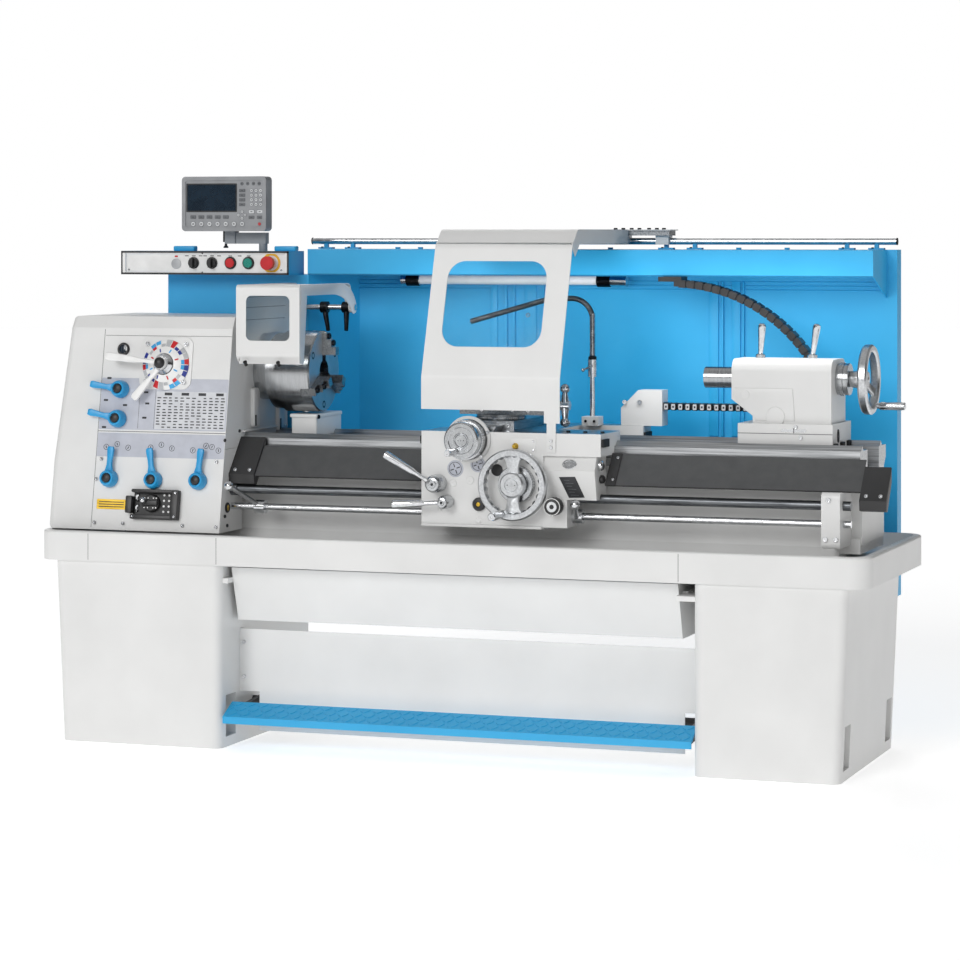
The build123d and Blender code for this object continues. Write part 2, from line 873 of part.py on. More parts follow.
for index, spot in enumerate(gear_levers):
    with BuildPart() as gear_lever:
        face_lever((head_left + spot[0], spot[1]), gear_lever_angles[index], gear_lever_length,
                gear_hub_radius, gear_hub_height, gear_arm_low, gear_arm_height, gear_arm_root, gear_arm_tip)
    gear_lever.part.label = f"gear_lever_{index + 1}"
    export_step(gear_lever.part, f"parts/gear_lever_{index + 1}.step")

with BuildPart() as speed_lever_2:
    face_lever((speed_x, speed_up), speed_angles[1], short_speed_arm, short_speed_hub,
            short_speed_level + speed_arm_height,
               short_speed_level, speed_arm_height, gear_arm_root, gear_arm_tip)
    with Locations(face.location * Location((speed_x, speed_up, 0))):
        Cylinder(long_speed_hub + slide_gap, long_speed_level * 2, mode=Mode.SUBTRACT)
speed_lever_2.part.label = "speed_lever_2"
export_step(speed_lever_2.part, "parts/speed_lever_2.step")

with BuildPart() as speed_lever_1:
    face_lever((speed_x, speed_up), speed_angles[0], long_speed_arm, long_speed_hub,
            long_speed_level + speed_arm_height,
               long_speed_level, speed_arm_height, gear_arm_root, gear_arm_tip)
speed_lever_1.part.label = "speed_lever_1"
export_step(speed_lever_1.part, "parts/speed_lever_1.step")

with BuildPart() as feed_selector:
    with Locations(face.location * Location((feed_select_x, feed_select_up, slide_gap))):
        Cylinder(feed_select_radius, feed_select_height / 2,
                align=(Align.CENTER, Align.CENTER, Align.MIN))
        Box(feed_select_radius * 2, feed_select_grip, feed_select_height,
                align=(Align.CENTER, Align.CENTER, Align.MIN))
feed_selector.part.label = "feed_selector"
export_step(feed_selector.part, "parts/feed_selector.step")

# Spindle, back plate and chuck
with BuildPart() as spindle:
    pin((head_left - spindle_tail, 0, axis), (head_right + slide_gap, 0, axis), spindle_radius)
    pin((head_right + slide_gap, 0, axis), (nose_right, 0, axis), nose_radius)
    pin((head_left - spindle_tail - overrun, 0, axis), (nose_right + overrun, 0, axis), spindle_bore,
            Mode.SUBTRACT)
spindle.part.label = "spindle"
export_step(spindle.part, "parts/spindle.step")

with BuildPart() as chuck_body:
    pin((nose_right, 0, axis), (chuck_left, 0, axis), backplate_radius)
    with Locations(Plane(origin=(chuck_left, 0, axis), z_dir=(1, 0, 0)).location):
        Cylinder(chuck_radius, chuck_length, align=(Align.CENTER, Align.CENTER, Align.MIN))
    chamfer(chuck_body.edges().filter_by(GeomType.CIRCLE).sort_by(Axis.X)[-1], chuck_edge)
    pin((nose_right - overrun, 0, axis), (chuck_right + overrun, 0, axis), chuck_bore, Mode.SUBTRACT)
    with Locations(Plane(origin=(chuck_right, 0, axis), x_dir=(0, 1, 0), z_dir=(1, 0, 0)).location):
        with PolarLocations(0, 3, start_angle=90):
            Box(chuck_radius + overrun, jaw_width + 2 * jaw_gap, 2 * (jaw_depth + jaw_gap),
                align=(Align.MIN, Align.CENTER, Align.CENTER), mode=Mode.SUBTRACT)
chuck_body.part.label = "chuck_body"
export_step(chuck_body.part, "parts/chuck_body.step")

for index in range(3):
    turn = math.radians(90 + 120 * index)
    out = (0, math.cos(turn), math.sin(turn))
    with BuildPart() as jaw:
        prism(Plane(origin=(chuck_right, -jaw_width / 2 * out[2], axis + jaw_width / 2 * out[1]),
                    x_dir=out, z_dir=(0, out[2], -out[1])), (
            (jaw_inner, -jaw_depth), (jaw_outer, -jaw_depth), (jaw_outer, jaw_reach - 2 * jaw_step_rise),
            (jaw_outer - jaw_step, jaw_reach - 2 * jaw_step_rise), (jaw_outer - jaw_step,
                    jaw_reach - jaw_step_rise),
            (jaw_outer - 2 * jaw_step, jaw_reach - jaw_step_rise), (jaw_outer - 2 * jaw_step, jaw_reach),
            (jaw_inner, jaw_reach)), jaw_width)
    jaw.part.label = f"jaw_{index + 1}"
    export_step(jaw.part, f"parts/jaw_{index + 1}.step")

# Chuck guard: folded sheet with two arms to sleeves on the guard shaft
guard_right = guard_left + guard_width
guard_path = (
    (-guard_front + guard_lip, axis + guard_low),
    (-guard_front, axis + guard_low + guard_lip),
    (-guard_front, axis + guard_high),
    (-guard_top_back, axis + guard_high),
)
arm_path = (
    (-guard_top_back - guard_lip, axis + guard_high),
    (guard_pivot_back - guard_arm_bend, axis + guard_high),
    (guard_pivot_back, pivot_z + guard_sleeve_radius - sheet),
)
with BuildPart() as chuck_guard:
    bent_sheet(guard_left, guard_right, guard_path, guard_lip / 2, sheet)
    window_x = (guard_left + guard_right) / 2
    window_z = axis + guard_window_low + guard_window_height / 2
    rounded_slab(Plane.XZ.offset(guard_front - overrun), (window_x, window_z),
            (guard_window_width, guard_window_height),
                 guard_window_round, 2 * overrun, Mode.SUBTRACT)
    rounded_slab(Plane.XZ.offset(guard_front - sheet - pane_gap - pane_thickness), (window_x, window_z),
                 (guard_window_width + 2 * pane_lap,
                         guard_window_height + 2 * pane_lap), guard_window_round, pane_thickness)
    for x0 in (guard_left, guard_right - guard_arm_width):
        bent_sheet(x0, x0 + guard_arm_width, arm_path, guard_lip, sheet)
        pin((x0, guard_pivot_back, pivot_z), (x0 + guard_arm_width, guard_pivot_back, pivot_z),
                guard_sleeve_radius)
        pin((x0 - overrun, guard_pivot_back, pivot_z),
                (x0 + guard_arm_width + overrun, guard_pivot_back, pivot_z),
            guard_shaft_radius + running_fit, Mode.SUBTRACT)
chuck_guard.part.label = "chuck_guard"
export_step(chuck_guard.part, "parts/chuck_guard.step")

with BuildPart() as guard_shaft:
    shaft_start = head_right - guard_block_spacing - guard_block_width
    pin((shaft_start, guard_pivot_back, pivot_z), (guard_right + sheet, guard_pivot_back, pivot_z),
            guard_shaft_radius)
    for x0 in (shaft_start, head_right - guard_block_width):
        block((x0, x0 + guard_block_width), (guard_pivot_back - guard_block_depth / 2,
                guard_pivot_back + guard_block_depth / 2),
              (head_top, pivot_z + guard_sleeve_radius))
guard_shaft.part.label = "guard_shaft"
export_step(guard_shaft.part, "parts/guard_shaft.step")

# Saddle: front and rear guides joined by a bridge, with the cable chain bracket on the rear wing
bridge_right = bridge_left + bridge_length
way_room = slide_gap * 2
with BuildPart() as saddle:
    block((saddle_left, saddle_right), (-saddle_front, -saddle_front + saddle_front_depth),
            (bed_top + slide_gap, saddle_top))
    block((saddle_left, saddle_right), (-saddle_front, -bed_half - slide_gap), (apron_top, saddle_top))
    along_x(saddle_left - overrun, saddle_right + overrun, (
        (way_front_y - way_half - way_room, bed_top), (way_front_y + way_half + way_room, bed_top),
        (way_front_y + way_room, bed_top + way_rise + way_room), (way_front_y - way_room,
                bed_top + way_rise + way_room)), Mode.SUBTRACT)
    block((saddle_left, saddle_right), (saddle_rear_start, saddle_rear_end),
            (bed_top + slide_gap, saddle_top))
    block((saddle_left, saddle_right), (bed_half + slide_gap, saddle_rear_end),
            (bed_top - saddle_keeper_drop, saddle_top))
    block((bridge_left, bridge_right), (-saddle_front + saddle_front_depth, saddle_rear_start),
            (bed_top + bridge_lift, saddle_top))
    along_y(-saddle_front + overrun, saddle_rear_end, (
        (cross_x - dovetail_width / 2 + dovetail_flare,
                saddle_top), (cross_x + dovetail_width / 2 - dovetail_flare, saddle_top),
        (cross_x + dovetail_width / 2, saddle_top + dovetail_height), (cross_x - dovetail_width / 2,
                saddle_top + dovetail_height)))
    along_y(chain_y - chain_bracket_depth / 2, chain_y + chain_bracket_depth / 2, (
        (chain_bracket_left, saddle_top), (chain_end, saddle_top), (chain_end,
                saddle_top + chain_bracket_height),
        (chain_bracket_left + chain_bracket_cut, saddle_top + chain_bracket_height),
        (chain_bracket_left, saddle_top + chain_bracket_height - chain_bracket_cut)))
saddle.part.label = "saddle"
export_step(saddle.part, "parts/saddle.step")

# Apron: main box, leaning feed box at its right and the control rod bearing
apron_back = -saddle_front + apron_thickness
apron_low = apron_top - apron_height
box_left = saddle_left + apron_length
box_right = box_left + apron_box_length
box_front = -saddle_front + apron_box_setback
with BuildPart() as apron:
    block((saddle_left, box_left), (-saddle_front, apron_back), (apron_low, apron_top))
    fillet(apron.edges().filter_by(Axis.X).filter_by_position(Axis.Z, apron_low - slide_gap,
            apron_low + slide_gap), apron_round)
    along_x(box_left, box_right, (
        (apron_back, apron_top), (box_front, apron_top), (box_front - apron_box_slope / 2,
                apron_top - apron_box_slope),
        (box_front, apron_top - apron_box_height), (apron_back, apron_top - apron_box_height)))
    block((box_left, box_left + apron_bearing_length),
            (-saddle_front, -screw_setback + apron_bearing_back),
          (rod_z - apron_bearing_height / 2, apron_top - apron_box_height))
    for z, radius in ((screw_z, screw_radius), (rod_z, rod_radius)):
        pin((saddle_left - overrun, -screw_setback, z), (saddle_right + overrun, -screw_setback, z),
                radius + rod_clearance, Mode.SUBTRACT)
    pin((apron_knob_x, -saddle_front, apron_top - apron_knob_drop),
            (apron_knob_x, -saddle_front - apron_knob_length, apron_top - apron_knob_drop),
        apron_knob_radius)
apron.part.label = "apron"
export_step(apron.part, "parts/apron.step")


def handwheel(plane, radius, standoff, handle_angle, handle_radius, handle_length):
    """Two-spoke hand wheel on a plane: hub, rim and a handle on the rim."""
    with Locations(plane.location * Location((0, 0, slide_gap))):
        Cylinder(wheel_hub_radius, standoff + wheel_rim_depth,
                align=(Align.CENTER, Align.CENTER, Align.MIN))
    with BuildSketch(plane.offset(standoff)) as rim:
        Circle(radius)
        Circle(radius - wheel_rim, mode=Mode.SUBTRACT)
    extrude(rim.sketch, amount=wheel_rim_depth)
    with BuildSketch(plane.offset(standoff + wheel_rim_depth / 4)) as spokes:
        Rectangle(wheel_spoke, 2 * radius - wheel_rim)
    extrude(spokes.sketch, amount=wheel_rim_depth / 2)
    grip = radius - wheel_rim / 2
    spot = Location((grip * math.cos(math.radians(handle_angle)),
            grip * math.sin(math.radians(handle_angle)), standoff))
    with Locations(plane.location * spot):
        Cylinder(handle_radius, wheel_rim_depth + handle_length,
                align=(Align.CENTER, Align.CENTER, Align.MIN))


def front_plane(x, y, z):
    """Plane facing the operator at a point."""
    return Plane(origin=(x, y, z), x_dir=(1, 0, 0), z_dir=(0, -1, 0))


with BuildPart() as carriage_handwheel:
    handwheel(front_plane(carriage_wheel_x, -saddle_front, apron_top - carriage_wheel_drop),
            carriage_wheel_radius, wheel_standoff,
              250, wheel_handle_radius, wheel_handle_length)
carriage_handwheel.part.label = "carriage_handwheel"
export_step(carriage_handwheel.part, "parts/carriage_handwheel.step")

# Cross slide with the swivel base of the top slide
with BuildPart() as cross_slide:
    block((cross_x - cross_slide_width / 2, cross_x + cross_slide_width / 2),
            (-cross_slide_front, cross_slide_back),
          (saddle_top + slide_gap, cross_top))
    along_y(-cross_slide_front - overrun, cross_slide_back + overrun, (
        (cross_x - dovetail_width / 2 + dovetail_flare - way_room,
                saddle_top), (cross_x + dovetail_width / 2 - dovetail_flare + way_room, saddle_top),
        (cross_x + dovetail_width / 2 + way_room, saddle_top + dovetail_height + way_room),
        (cross_x - dovetail_width / 2 - way_room,
                saddle_top + dovetail_height + way_room)), Mode.SUBTRACT)
    pin((cross_x, swivel_y, cross_top), (cross_x, swivel_y, swivel_top), swivel_radius)
cross_slide.part.label = "cross_slide"
export_step(cross_slide.part, "parts/cross_slide.step")

with BuildPart() as cross_handwheel:
    wheel_z = apron_top + cross_wheel_rise + slide_gap
    pin((cross_wheel_x, -saddle_front - slide_gap, wheel_z),
            (cross_wheel_x, -saddle_front - cross_collar_length, wheel_z), cross_collar_radius)
    pin((cross_wheel_x, -saddle_front - cross_collar_length, wheel_z),
        (cross_wheel_x, -saddle_front - cross_collar_length - cross_wheel_depth,
                wheel_z), cross_wheel_radius)
    grip = cross_wheel_radius - cross_handle_inset
    spot_x = cross_wheel_x - grip * math.cos(math.radians(60))
    spot_z = wheel_z - grip * math.sin(math.radians(60))
    wheel_y = -saddle_front - cross_collar_length - cross_wheel_depth
    pin((spot_x, wheel_y, spot_z), (spot_x, wheel_y - cross_handle_length, spot_z), cross_handle_radius)
cross_handwheel.part.label = "cross_handwheel"
export_step(cross_handwheel.part, "parts/cross_handwheel.step")

# Top slide, its handle, the tool post and its clamp lever
slide_x0 = cross_x - top_slide_left
slide_x1 = cross_x + top_slide_right
slide_low = swivel_top + slide_gap
with BuildPart() as top_slide:
    block((slide_x0, slide_x1), (swivel_y - top_slide_width / 2, swivel_y + top_slide_width / 2),
            (slide_low, top_slide_top))
top_slide.part.label = "top_slide"
export_step(top_slide.part, "parts/top_slide.step")

handle_z = (slide_low + top_slide_top) / 2
with BuildPart() as top_slide_handle:
    collar_end = slide_x1 + top_handle_collar_length
    pin((slide_x1 + slide_gap, swivel_y, handle_z), (collar_end, swivel_y, handle_z), top_handle_collar)
    pin((collar_end, swivel_y, handle_z), (collar_end + 2 * ball_radius, swivel_y, handle_z), ball_radius)
    for way in (1, -1):
        tip = (collar_end + ball_radius, swivel_y, handle_z + way * top_handle_length)
        cone((collar_end + ball_radius, swivel_y, handle_z), tip, ball_radius - panel_seam, ball_radius / 2)
        ball(tip, ball_radius)
top_slide_handle.part.label = "top_slide_handle"
export_step(top_slide_handle.part, "parts/top_slide_handle.step")

post_x = cross_x
post_half = post_size / 2
with BuildPart() as tool_post:
    block((post_x - post_half, post_x + post_half), (swivel_y - post_half, swivel_y + post_half),
          (top_slide_top, top_slide_top + post_height))
    with BuildSketch(Plane.XY.offset(top_slide_top + post_plate)) as slots:
        with Locations((post_x, swivel_y)):
            Rectangle(2 * post_size, 2 * post_size)
            Rectangle(post_core, post_core, mode=Mode.SUBTRACT)
    extrude(slots.sketch, amount=post_slot, mode=Mode.SUBTRACT)
    stud_low = top_slide_top + post_height
    pin((post_x, swivel_y, stud_low), (post_x, swivel_y, stud_low + post_hub_height + post_plate),
            post_stud_radius)
tool_post.part.label = "tool_post"
export_step(tool_post.part, "parts/tool_post.step")

with BuildPart() as tool_post_lever:
    hub_z = top_slide_top + post_height + slide_gap
    pin((post_x, swivel_y, hub_z), (post_x, swivel_y, hub_z + post_hub_height), post_hub_radius)
    pin((post_x, swivel_y, hub_z - overrun), (post_x, swivel_y, hub_z + post_hub_height + overrun),
        post_stud_radius + running_fit, Mode.SUBTRACT)
    root = (post_x + (post_stud_radius + post_hub_radius) / 2, swivel_y, hub_z + post_hub_height / 2)
    tip = (post_x + post_lever_length, swivel_y, hub_z + post_hub_height * 2)
    pin(root, tip, post_lever_radius)
    ball(tip, ball_radius)
tool_post_lever.part.label = "tool_post_lever"
export_step(tool_post_lever.part, "parts/tool_post_lever.step")


def apron_lever(x, drop, hub_radius, hub_length, length, angle, rise):
    """Lever on a round hub in front of the apron."""
    z = apron_top - drop
    y = -saddle_front - slide_gap
    pin((x, y, z), (x, y - hub_length, z), hub_radius)
    root = (x, y - hub_length + feed_lever_radius, z)
    tip = (x + length * math.cos(math.radians(angle)), y - hub_length - rise,
            z + length * math.sin(math.radians(angle)))
    cone(root, tip, feed_lever_radius * 0.7, feed_lever_radius)
    ball(tip, feed_lever_radius)


with BuildPart() as feed_lever:
    apron_lever(feed_lever_x, feed_lever_drop, feed_hub_radius, feed_hub_length, feed_lever_length, 150,
            feed_lever_radius)
feed_lever.part.label = "feed_lever"
export_step(feed_lever.part, "parts/feed_lever.step")

with BuildPart() as half_nut_lever:
    apron_lever(nut_lever_x, nut_lever_drop, nut_hub_radius, feed_hub_length, nut_lever_length, 183,
            feed_lever_radius)
half_nut_lever.part.label = "half_nut_lever"
export_step(half_nut_lever.part, "parts/half_nut_lever.step")

# Lead screw and control rod with its start lever, and the start lever that rides on the apron
with BuildPart() as leadscrew:
    pin((head_right - rod_end + slide_gap, -screw_setback, screw_z),
            (bracket_left + bracket_length + rod_end, -screw_setback, screw_z), screw_radius)
    pin((head_right + slide_gap, -screw_setback, screw_z),
            (head_right + screw_collar_length, -screw_setback, screw_z), screw_collar)
leadscrew.part.label = "leadscrew"
export_step(leadscrew.part, "parts/leadscrew.step")

with BuildPart() as control_rod:
    pin((head_right - rod_end + slide_gap, -screw_setback, rod_z),
            (bracket_left + bracket_length + rod_end, -screw_setback, rod_z), rod_radius)
    pin((start_lever_x, -screw_setback, rod_z), (start_lever_x + start_hub_length, -screw_setback, rod_z),
            start_hub_radius)
    root = (start_lever_x + start_hub_length / 2, -screw_setback, rod_z)
    tip = (start_lever_x - start_lever_length / 3, -screw_setback - start_lever_length * 0.75,
            rod_z + start_lever_length / 2)
    pin(root, tip, start_lever_radius)
    ball(tip, ball_radius)
control_rod.part.label = "control_rod"
export_step(control_rod.part, "parts/control_rod.step")

with BuildPart() as apron_start_lever:
    hub_x = box_left + apron_bearing_length + slide_gap
    pin((hub_x, -screw_setback, rod_z), (hub_x + start_hub_length, -screw_setback, rod_z),
            start_hub_radius)
    pin((hub_x - overrun, -screw_setback, rod_z), (hub_x + start_hub_length + overrun, -screw_setback,
            rod_z), rod_radius + rod_clearance, Mode.SUBTRACT)
    root = (hub_x + start_hub_length / 2, -screw_setback - start_hub_radius + start_lever_radius / 2,
            rod_z)
    tip = (hub_x + start_hub_length, -screw_setback - apron_lever_length, rod_z + apron_lever_length / 2)
    pin(root, tip, start_lever_radius)
    ball(tip, ball_radius)
apron_start_lever.part.label = "apron_start_lever"
export_step(apron_start_lever.part, "parts/apron_start_lever.step")

# Roll-up way covers between their boxes and the saddle
cover_line = ((-cover_top_y, bed_top - cover_top_below), (-cover_low_y, bed_top - cover_low_below))
cover_run = math.hypot(cover_low_y - cover_top_y, cover_low_below - cover_top_below)
cover_out = (-(cover_low_below - cover_top_below) / cover_run, (cover_low_y - cover_top_y) / cover_run)


def cover_band(x0, x1, low, high, stretch=0.0):
    """Band parallel to the way cover, between two distances off its inner face."""
    along = ((cover_line[1][0] - cover_line[0][0]) / cover_run,
            (cover_line[1][1] - cover_line[0][1]) / cover_run)
    top = (cover_line[0][0] - along[0] * stretch, cover_line[0][1] - along[1] * stretch)
    bottom = (cover_line[1][0] + along[0] * stretch, cover_line[1][1] + along[1] * stretch)
    along_x(x0, x1, (
        (top[0] + cover_out[0] * low, top[1] + cover_out[1] * low), (bottom[0] + cover_out[0] * low,
                bottom[1] + cover_out[1] * low),
        (bottom[0] + cover_out[0] * high, bottom[1] + cover_out[1] * high), (top[0] + cover_out[0] * high,
                top[1] + cover_out[1] * high)))


with BuildPart() as way_cover_boxes:
    for x0 in (head_right, cover_right_start):
        cover_band(x0, x0 + cover_box_length, -cover_box_under, cover_box_over, cover_box_under)
        block((x0, x0 + cover_box_length), (-cover_top_y - cover_box_under, -bed_half),
              (bed_top - cover_top_below - cover_box_under, bed_top - cover_top_below))
way_cover_boxes.part.label = "way_cover_boxes"
export_step(way_cover_boxes.part, "parts/way_cover_boxes.step")

with BuildPart() as way_cover_left:
    cover_band(cover_left_end, saddle_left - cover_end_gap, 0, cover_thick)
way_cover_left.part.label = "way_cover_left"
export_step(way_cover_left.part, "parts/way_cover_left.step")

with BuildPart() as way_cover_right:
    cover_band(saddle_right + cover_end_gap, cover_right_start, 0, cover_thick)
way_cover_right.part.label = "way_cover_right"
export_step(way_cover_right.part, "parts/way_cover_right.step")

# Tailstock: base on the ways, rounded barrel housing, quill, wheel and levers
tail_right = tailstock_left + tailstock_length
base_right = tailstock_base_left + tailstock_base_length
tail_top = axis + tailstock_rise
base_top = bed_top + tailstock_base_height
with BuildPart() as tailstock_body:
    block((tailstock_base_left, base_right), (-tailstock_base_width / 2, tailstock_base_width / 2),
            (bed_top + slide_gap, base_top))
    along_x(tailstock_base_left - overrun, base_right + overrun, (
        (way_rear_y - way_half - way_room, bed_top), (way_rear_y + way_half + way_room, bed_top),
        (way_rear_y + way_room, bed_top + way_rise + way_room), (way_rear_y - way_room,
                bed_top + way_rise + way_room)), Mode.SUBTRACT)
    with BuildSketch(Plane.YZ.offset(tailstock_left)) as housing:
        with Locations((0, (tail_top + base_top) / 2)):
            RectangleRounded(tailstock_width, tail_top - base_top, tailstock_round)
        with Locations((0, base_top)):
            Rectangle(tailstock_width, tailstock_round * 2, align=(Align.CENTER, Align.MIN))
    extrude(housing.sketch, amount=tailstock_length)
    along_y(-tailstock_width / 2 - overrun, tailstock_width / 2 + overrun, (
        (tailstock_left - overrun, base_top), (tailstock_left - overrun, axis - tailstock_waist),
        (tailstock_left, axis - tailstock_waist), (tailstock_left + tailstock_slope_length,
                axis - tailstock_waist - tailstock_slope_drop),
        (tailstock_left + tailstock_slope_length, base_top)), Mode.SUBTRACT)
    pin((tail_right, 0, axis), (tail_right + tail_collar_length, 0, axis), tail_collar_radius)
    pin((tailstock_left - overrun, 0, axis), (tail_right - overrun, 0, axis), quill_radius + running_fit,
            Mode.SUBTRACT)
    pin((tailstock_left, 0, axis), (tail_right + tail_collar_length + overrun, 0, axis),
            tail_shaft_radius + running_fit, Mode.SUBTRACT)
tailstock_body.part.label = "tailstock_body"
export_step(tailstock_body.part, "parts/tailstock_body.step")

quill_right = quill_left + quill_length
with BuildPart() as quill:
    pin((quill_left, 0, axis), (quill_right, 0, axis), quill_radius)
    pin((quill_left - overrun, 0, axis), (quill_left + quill_socket_depth, 0, axis), quill_socket,
            Mode.SUBTRACT)
quill.part.label = "quill"
export_step(quill.part, "parts/quill.step")

with BuildPart() as tailstock_handwheel:
    collar_end = tail_right + tail_collar_length
    pin((quill_right + slide_gap, 0, axis), (collar_end + tail_wheel_gap, 0, axis), tail_shaft_radius)
    handwheel(Plane(origin=(collar_end, 0, axis), x_dir=(0, 1, 0), z_dir=(1, 0, 0)), tail_wheel_radius,
            tail_wheel_gap,
              -60, wheel_handle_radius, tail_handle_length)
tailstock_handwheel.part.label = "tailstock_handwheel"
export_step(tailstock_handwheel.part, "parts/tailstock_handwheel.step")


def clamp_lever(x, y):
    """Upright hub on the tailstock with an inclined ball lever."""
    z = tail_top + slide_gap
    pin((x, y, z), (x, y, z + clamp_hub_height), clamp_hub_radius)
    root = (x, y, z + clamp_hub_height - clamp_lever_radius)
    tip = (x - clamp_lever_length / 3, y - clamp_lever_length / 6, z + clamp_lever_length)
    pin(root, tip, clamp_lever_radius)
    ball(tip, ball_radius)


with BuildPart() as quill_lock_lever:
    clamp_lever(lock_lever_x, 0)
quill_lock_lever.part.label = "quill_lock_lever"
export_step(quill_lock_lever.part, "parts/quill_lock_lever.step")

with BuildPart() as tailstock_clamp_lever:
    clamp_lever(clamp_lever_x, clamp_lever_y)
tailstock_clamp_lever.part.label = "tailstock_clamp_lever"
export_step(tailstock_clamp_lever.part, "parts/tailstock_clamp_lever.step")

# Splash guard: ribbed back panel, hood, end post and the electrical column
panel_front = tray_back
splash_bottom = cabinet_height - splash_low
with BuildPart() as splash_guard:
    bent_sheet(splash_left, splash_right, (
        (hood_front + hood_lip, hood_bottom), (hood_front, hood_bottom), (hood_front,
                hood_top), (splash_back, hood_top),
        (splash_back, hood_top - hood_lip)), sheet, sheet)
    block((splash_left + splash_corner, splash_right), (panel_front, panel_front + sheet),
            (splash_bottom, hood_top - sheet))
    rib_pitch = (splash_right - splash_left - splash_corner) / (panel_rib_count + 1)
    for index in range(panel_rib_count):
        x0 = splash_left + splash_corner + (index + 1) * rib_pitch - panel_rib_width / 2
        block((x0, x0 + panel_rib_width), (panel_front + sheet, panel_front + sheet + panel_rib_depth),
                (splash_bottom, hood_top - sheet))
    prism(Plane.XY.offset(tray_top), (
        (splash_left, hood_front), (splash_left + sheet,
                hood_front), (splash_left + splash_corner + sheet, panel_front),
        (splash_left + splash_corner + sheet, panel_front + sheet), (splash_left + splash_corner,
                panel_front + sheet)), hood_top - tray_top)
    block((splash_right, splash_right + post_width), (panel_front, splash_back),
            (splash_bottom, hood_top))
    along_x(splash_right - sheet, splash_right, (
        (hood_front + sheet, hood_top - sheet), (hood_front + sheet, hood_bottom + sheet), (panel_front,
                hood_bottom - gusset),
        (panel_front, hood_top - sheet)))
    block((column_left, splash_left), (column_front, panel_front - tray_rim), (deck, hood_bottom))
    block((column_left, splash_left), (panel_front - tray_rim - sheet, splash_back),
            (tray_top, hood_bottom))
    block((splash_left - sheet, splash_left + sheet), (hood_front, splash_back), (tray_top, hood_bottom))
splash_guard.part.label = "splash_guard"
export_step(splash_guard.part, "parts/splash_guard.step")

# Control box on the column, with wells for the buttons
control_right = control_left + control_width
control_low = hood_bottom
control_mid = control_low + control_height / 2
with BuildPart() as control_box:
    block((control_left, control_right), (control_front, control_front + control_depth),
            (control_low, control_low + control_height))
    block((control_left + control_frame, control_right - control_frame),
            (control_front - overrun, control_front + control_skin),
          (control_low + control_frame / 2,
                  control_low + control_height - control_frame / 2), Mode.SUBTRACT)
    for x, radius in ((stop_x, stop_neck), (start_x, button_radius), (halt_x, button_radius)):
        pin((x, control_front - overrun, control_mid),
                (x, control_front + control_skin + button_sink,
                    control_mid), radius + slide_gap, Mode.SUBTRACT)
control_box.part.label = "control_box"
export_step(control_box.part, "parts/control_box.step")

panel_y = control_front + control_skin
with BuildPart() as stop_button:
    pin((stop_x, panel_y + button_sink / 4, control_mid),
            (stop_x, panel_y - stop_neck_length, control_mid), stop_neck)
    pin((stop_x, panel_y - stop_neck_length, control_mid),
            (stop_x, panel_y - stop_neck_length - stop_cap_length, control_mid), stop_radius)
stop_button.part.label = "stop_button"
export_step(stop_button.part, "parts/stop_button.step")

for name, x in (("start_button", start_x), ("halt_button", halt_x)):
    with BuildPart() as push_button:
        pin((x, panel_y + button_sink / 4, control_mid), (x, panel_y - button_length, control_mid),
                button_radius)
    push_button.part.label = name
    export_step(push_button.part, f"parts/{name}.step")

for index in range(2):
    with BuildPart() as selector:
        x = selector_x - index * selector_pitch
        pin((x, panel_y - slide_gap, control_mid), (x, panel_y - selector_length, control_mid),
                selector_radius)
        block((x - selector_grip / 2, x + selector_grip / 2),
                (panel_y - selector_length - selector_grip_length, panel_y - selector_length),
              (control_mid - selector_radius, control_mid + selector_radius))
    selector.part.label = f"selector_{index + 1}"
    export_step(selector.part, f"parts/selector_{index + 1}.step")

# Readout: rounded display on a swivelling arm
control_top = control_low + control_height
readout_low = control_top + readout_lift
with BuildPart() as readout:
    middle = (readout_x, readout_low + readout_height / 2)
    rounded_slab(Plane.XZ.offset(-readout_y - readout_depth), middle, (readout_width, readout_height),
            readout_round, readout_depth)
    rounded_slab(Plane.XZ.offset(-readout_y - readout_recess), middle,
            (readout_width - 2 * readout_frame, readout_height - 2 * readout_frame),
                 readout_round / 2, overrun, Mode.SUBTRACT)
    pin((readout_pin_x, readout_pin_y, control_top + slide_gap),
            (readout_pin_x, readout_pin_y, control_top + readout_arm_height), readout_pin_radius)
    arm_back = readout_y + readout_depth
    block((readout_x - readout_arm_width / 2, readout_pin_x + readout_pin_radius),
          (readout_pin_y - readout_pin_radius,
                  readout_pin_y + readout_pin_radius),
          (control_top + readout_arm_height - readout_arm_drop, control_top + readout_arm_height))
    block((readout_x - readout_arm_width / 2, readout_x + readout_arm_width / 2),
            (arm_back, readout_pin_y + readout_pin_radius),
          (control_top + readout_arm_height - readout_arm_drop, readout_low + readout_height / 2))
readout.part.label = "readout"
export_step(readout.part, "parts/readout.step")

# Guard rail on narrow posts over the hood
with BuildPart() as guard_rail:
    pin((rail_left, rail_y, rail_z), (rail_right, rail_y, rail_z), rail_radius)
    for x in [start + step for start in rail_pairs for step in (0, rail_pair_pitch)]:
        block((x - rail_neck / 2, x + rail_neck / 2), (rail_y - rail_neck / 2, rail_y + rail_neck / 2),
                (hood_top, rail_z))
        block((x - rail_foot / 2, x + rail_foot / 2), (rail_y - rail_neck, rail_y + rail_neck),
                (hood_top, hood_top + rail_foot_height))
guard_rail.part.label = "guard_rail"
export_step(guard_rail.part, "parts/guard_rail.step")

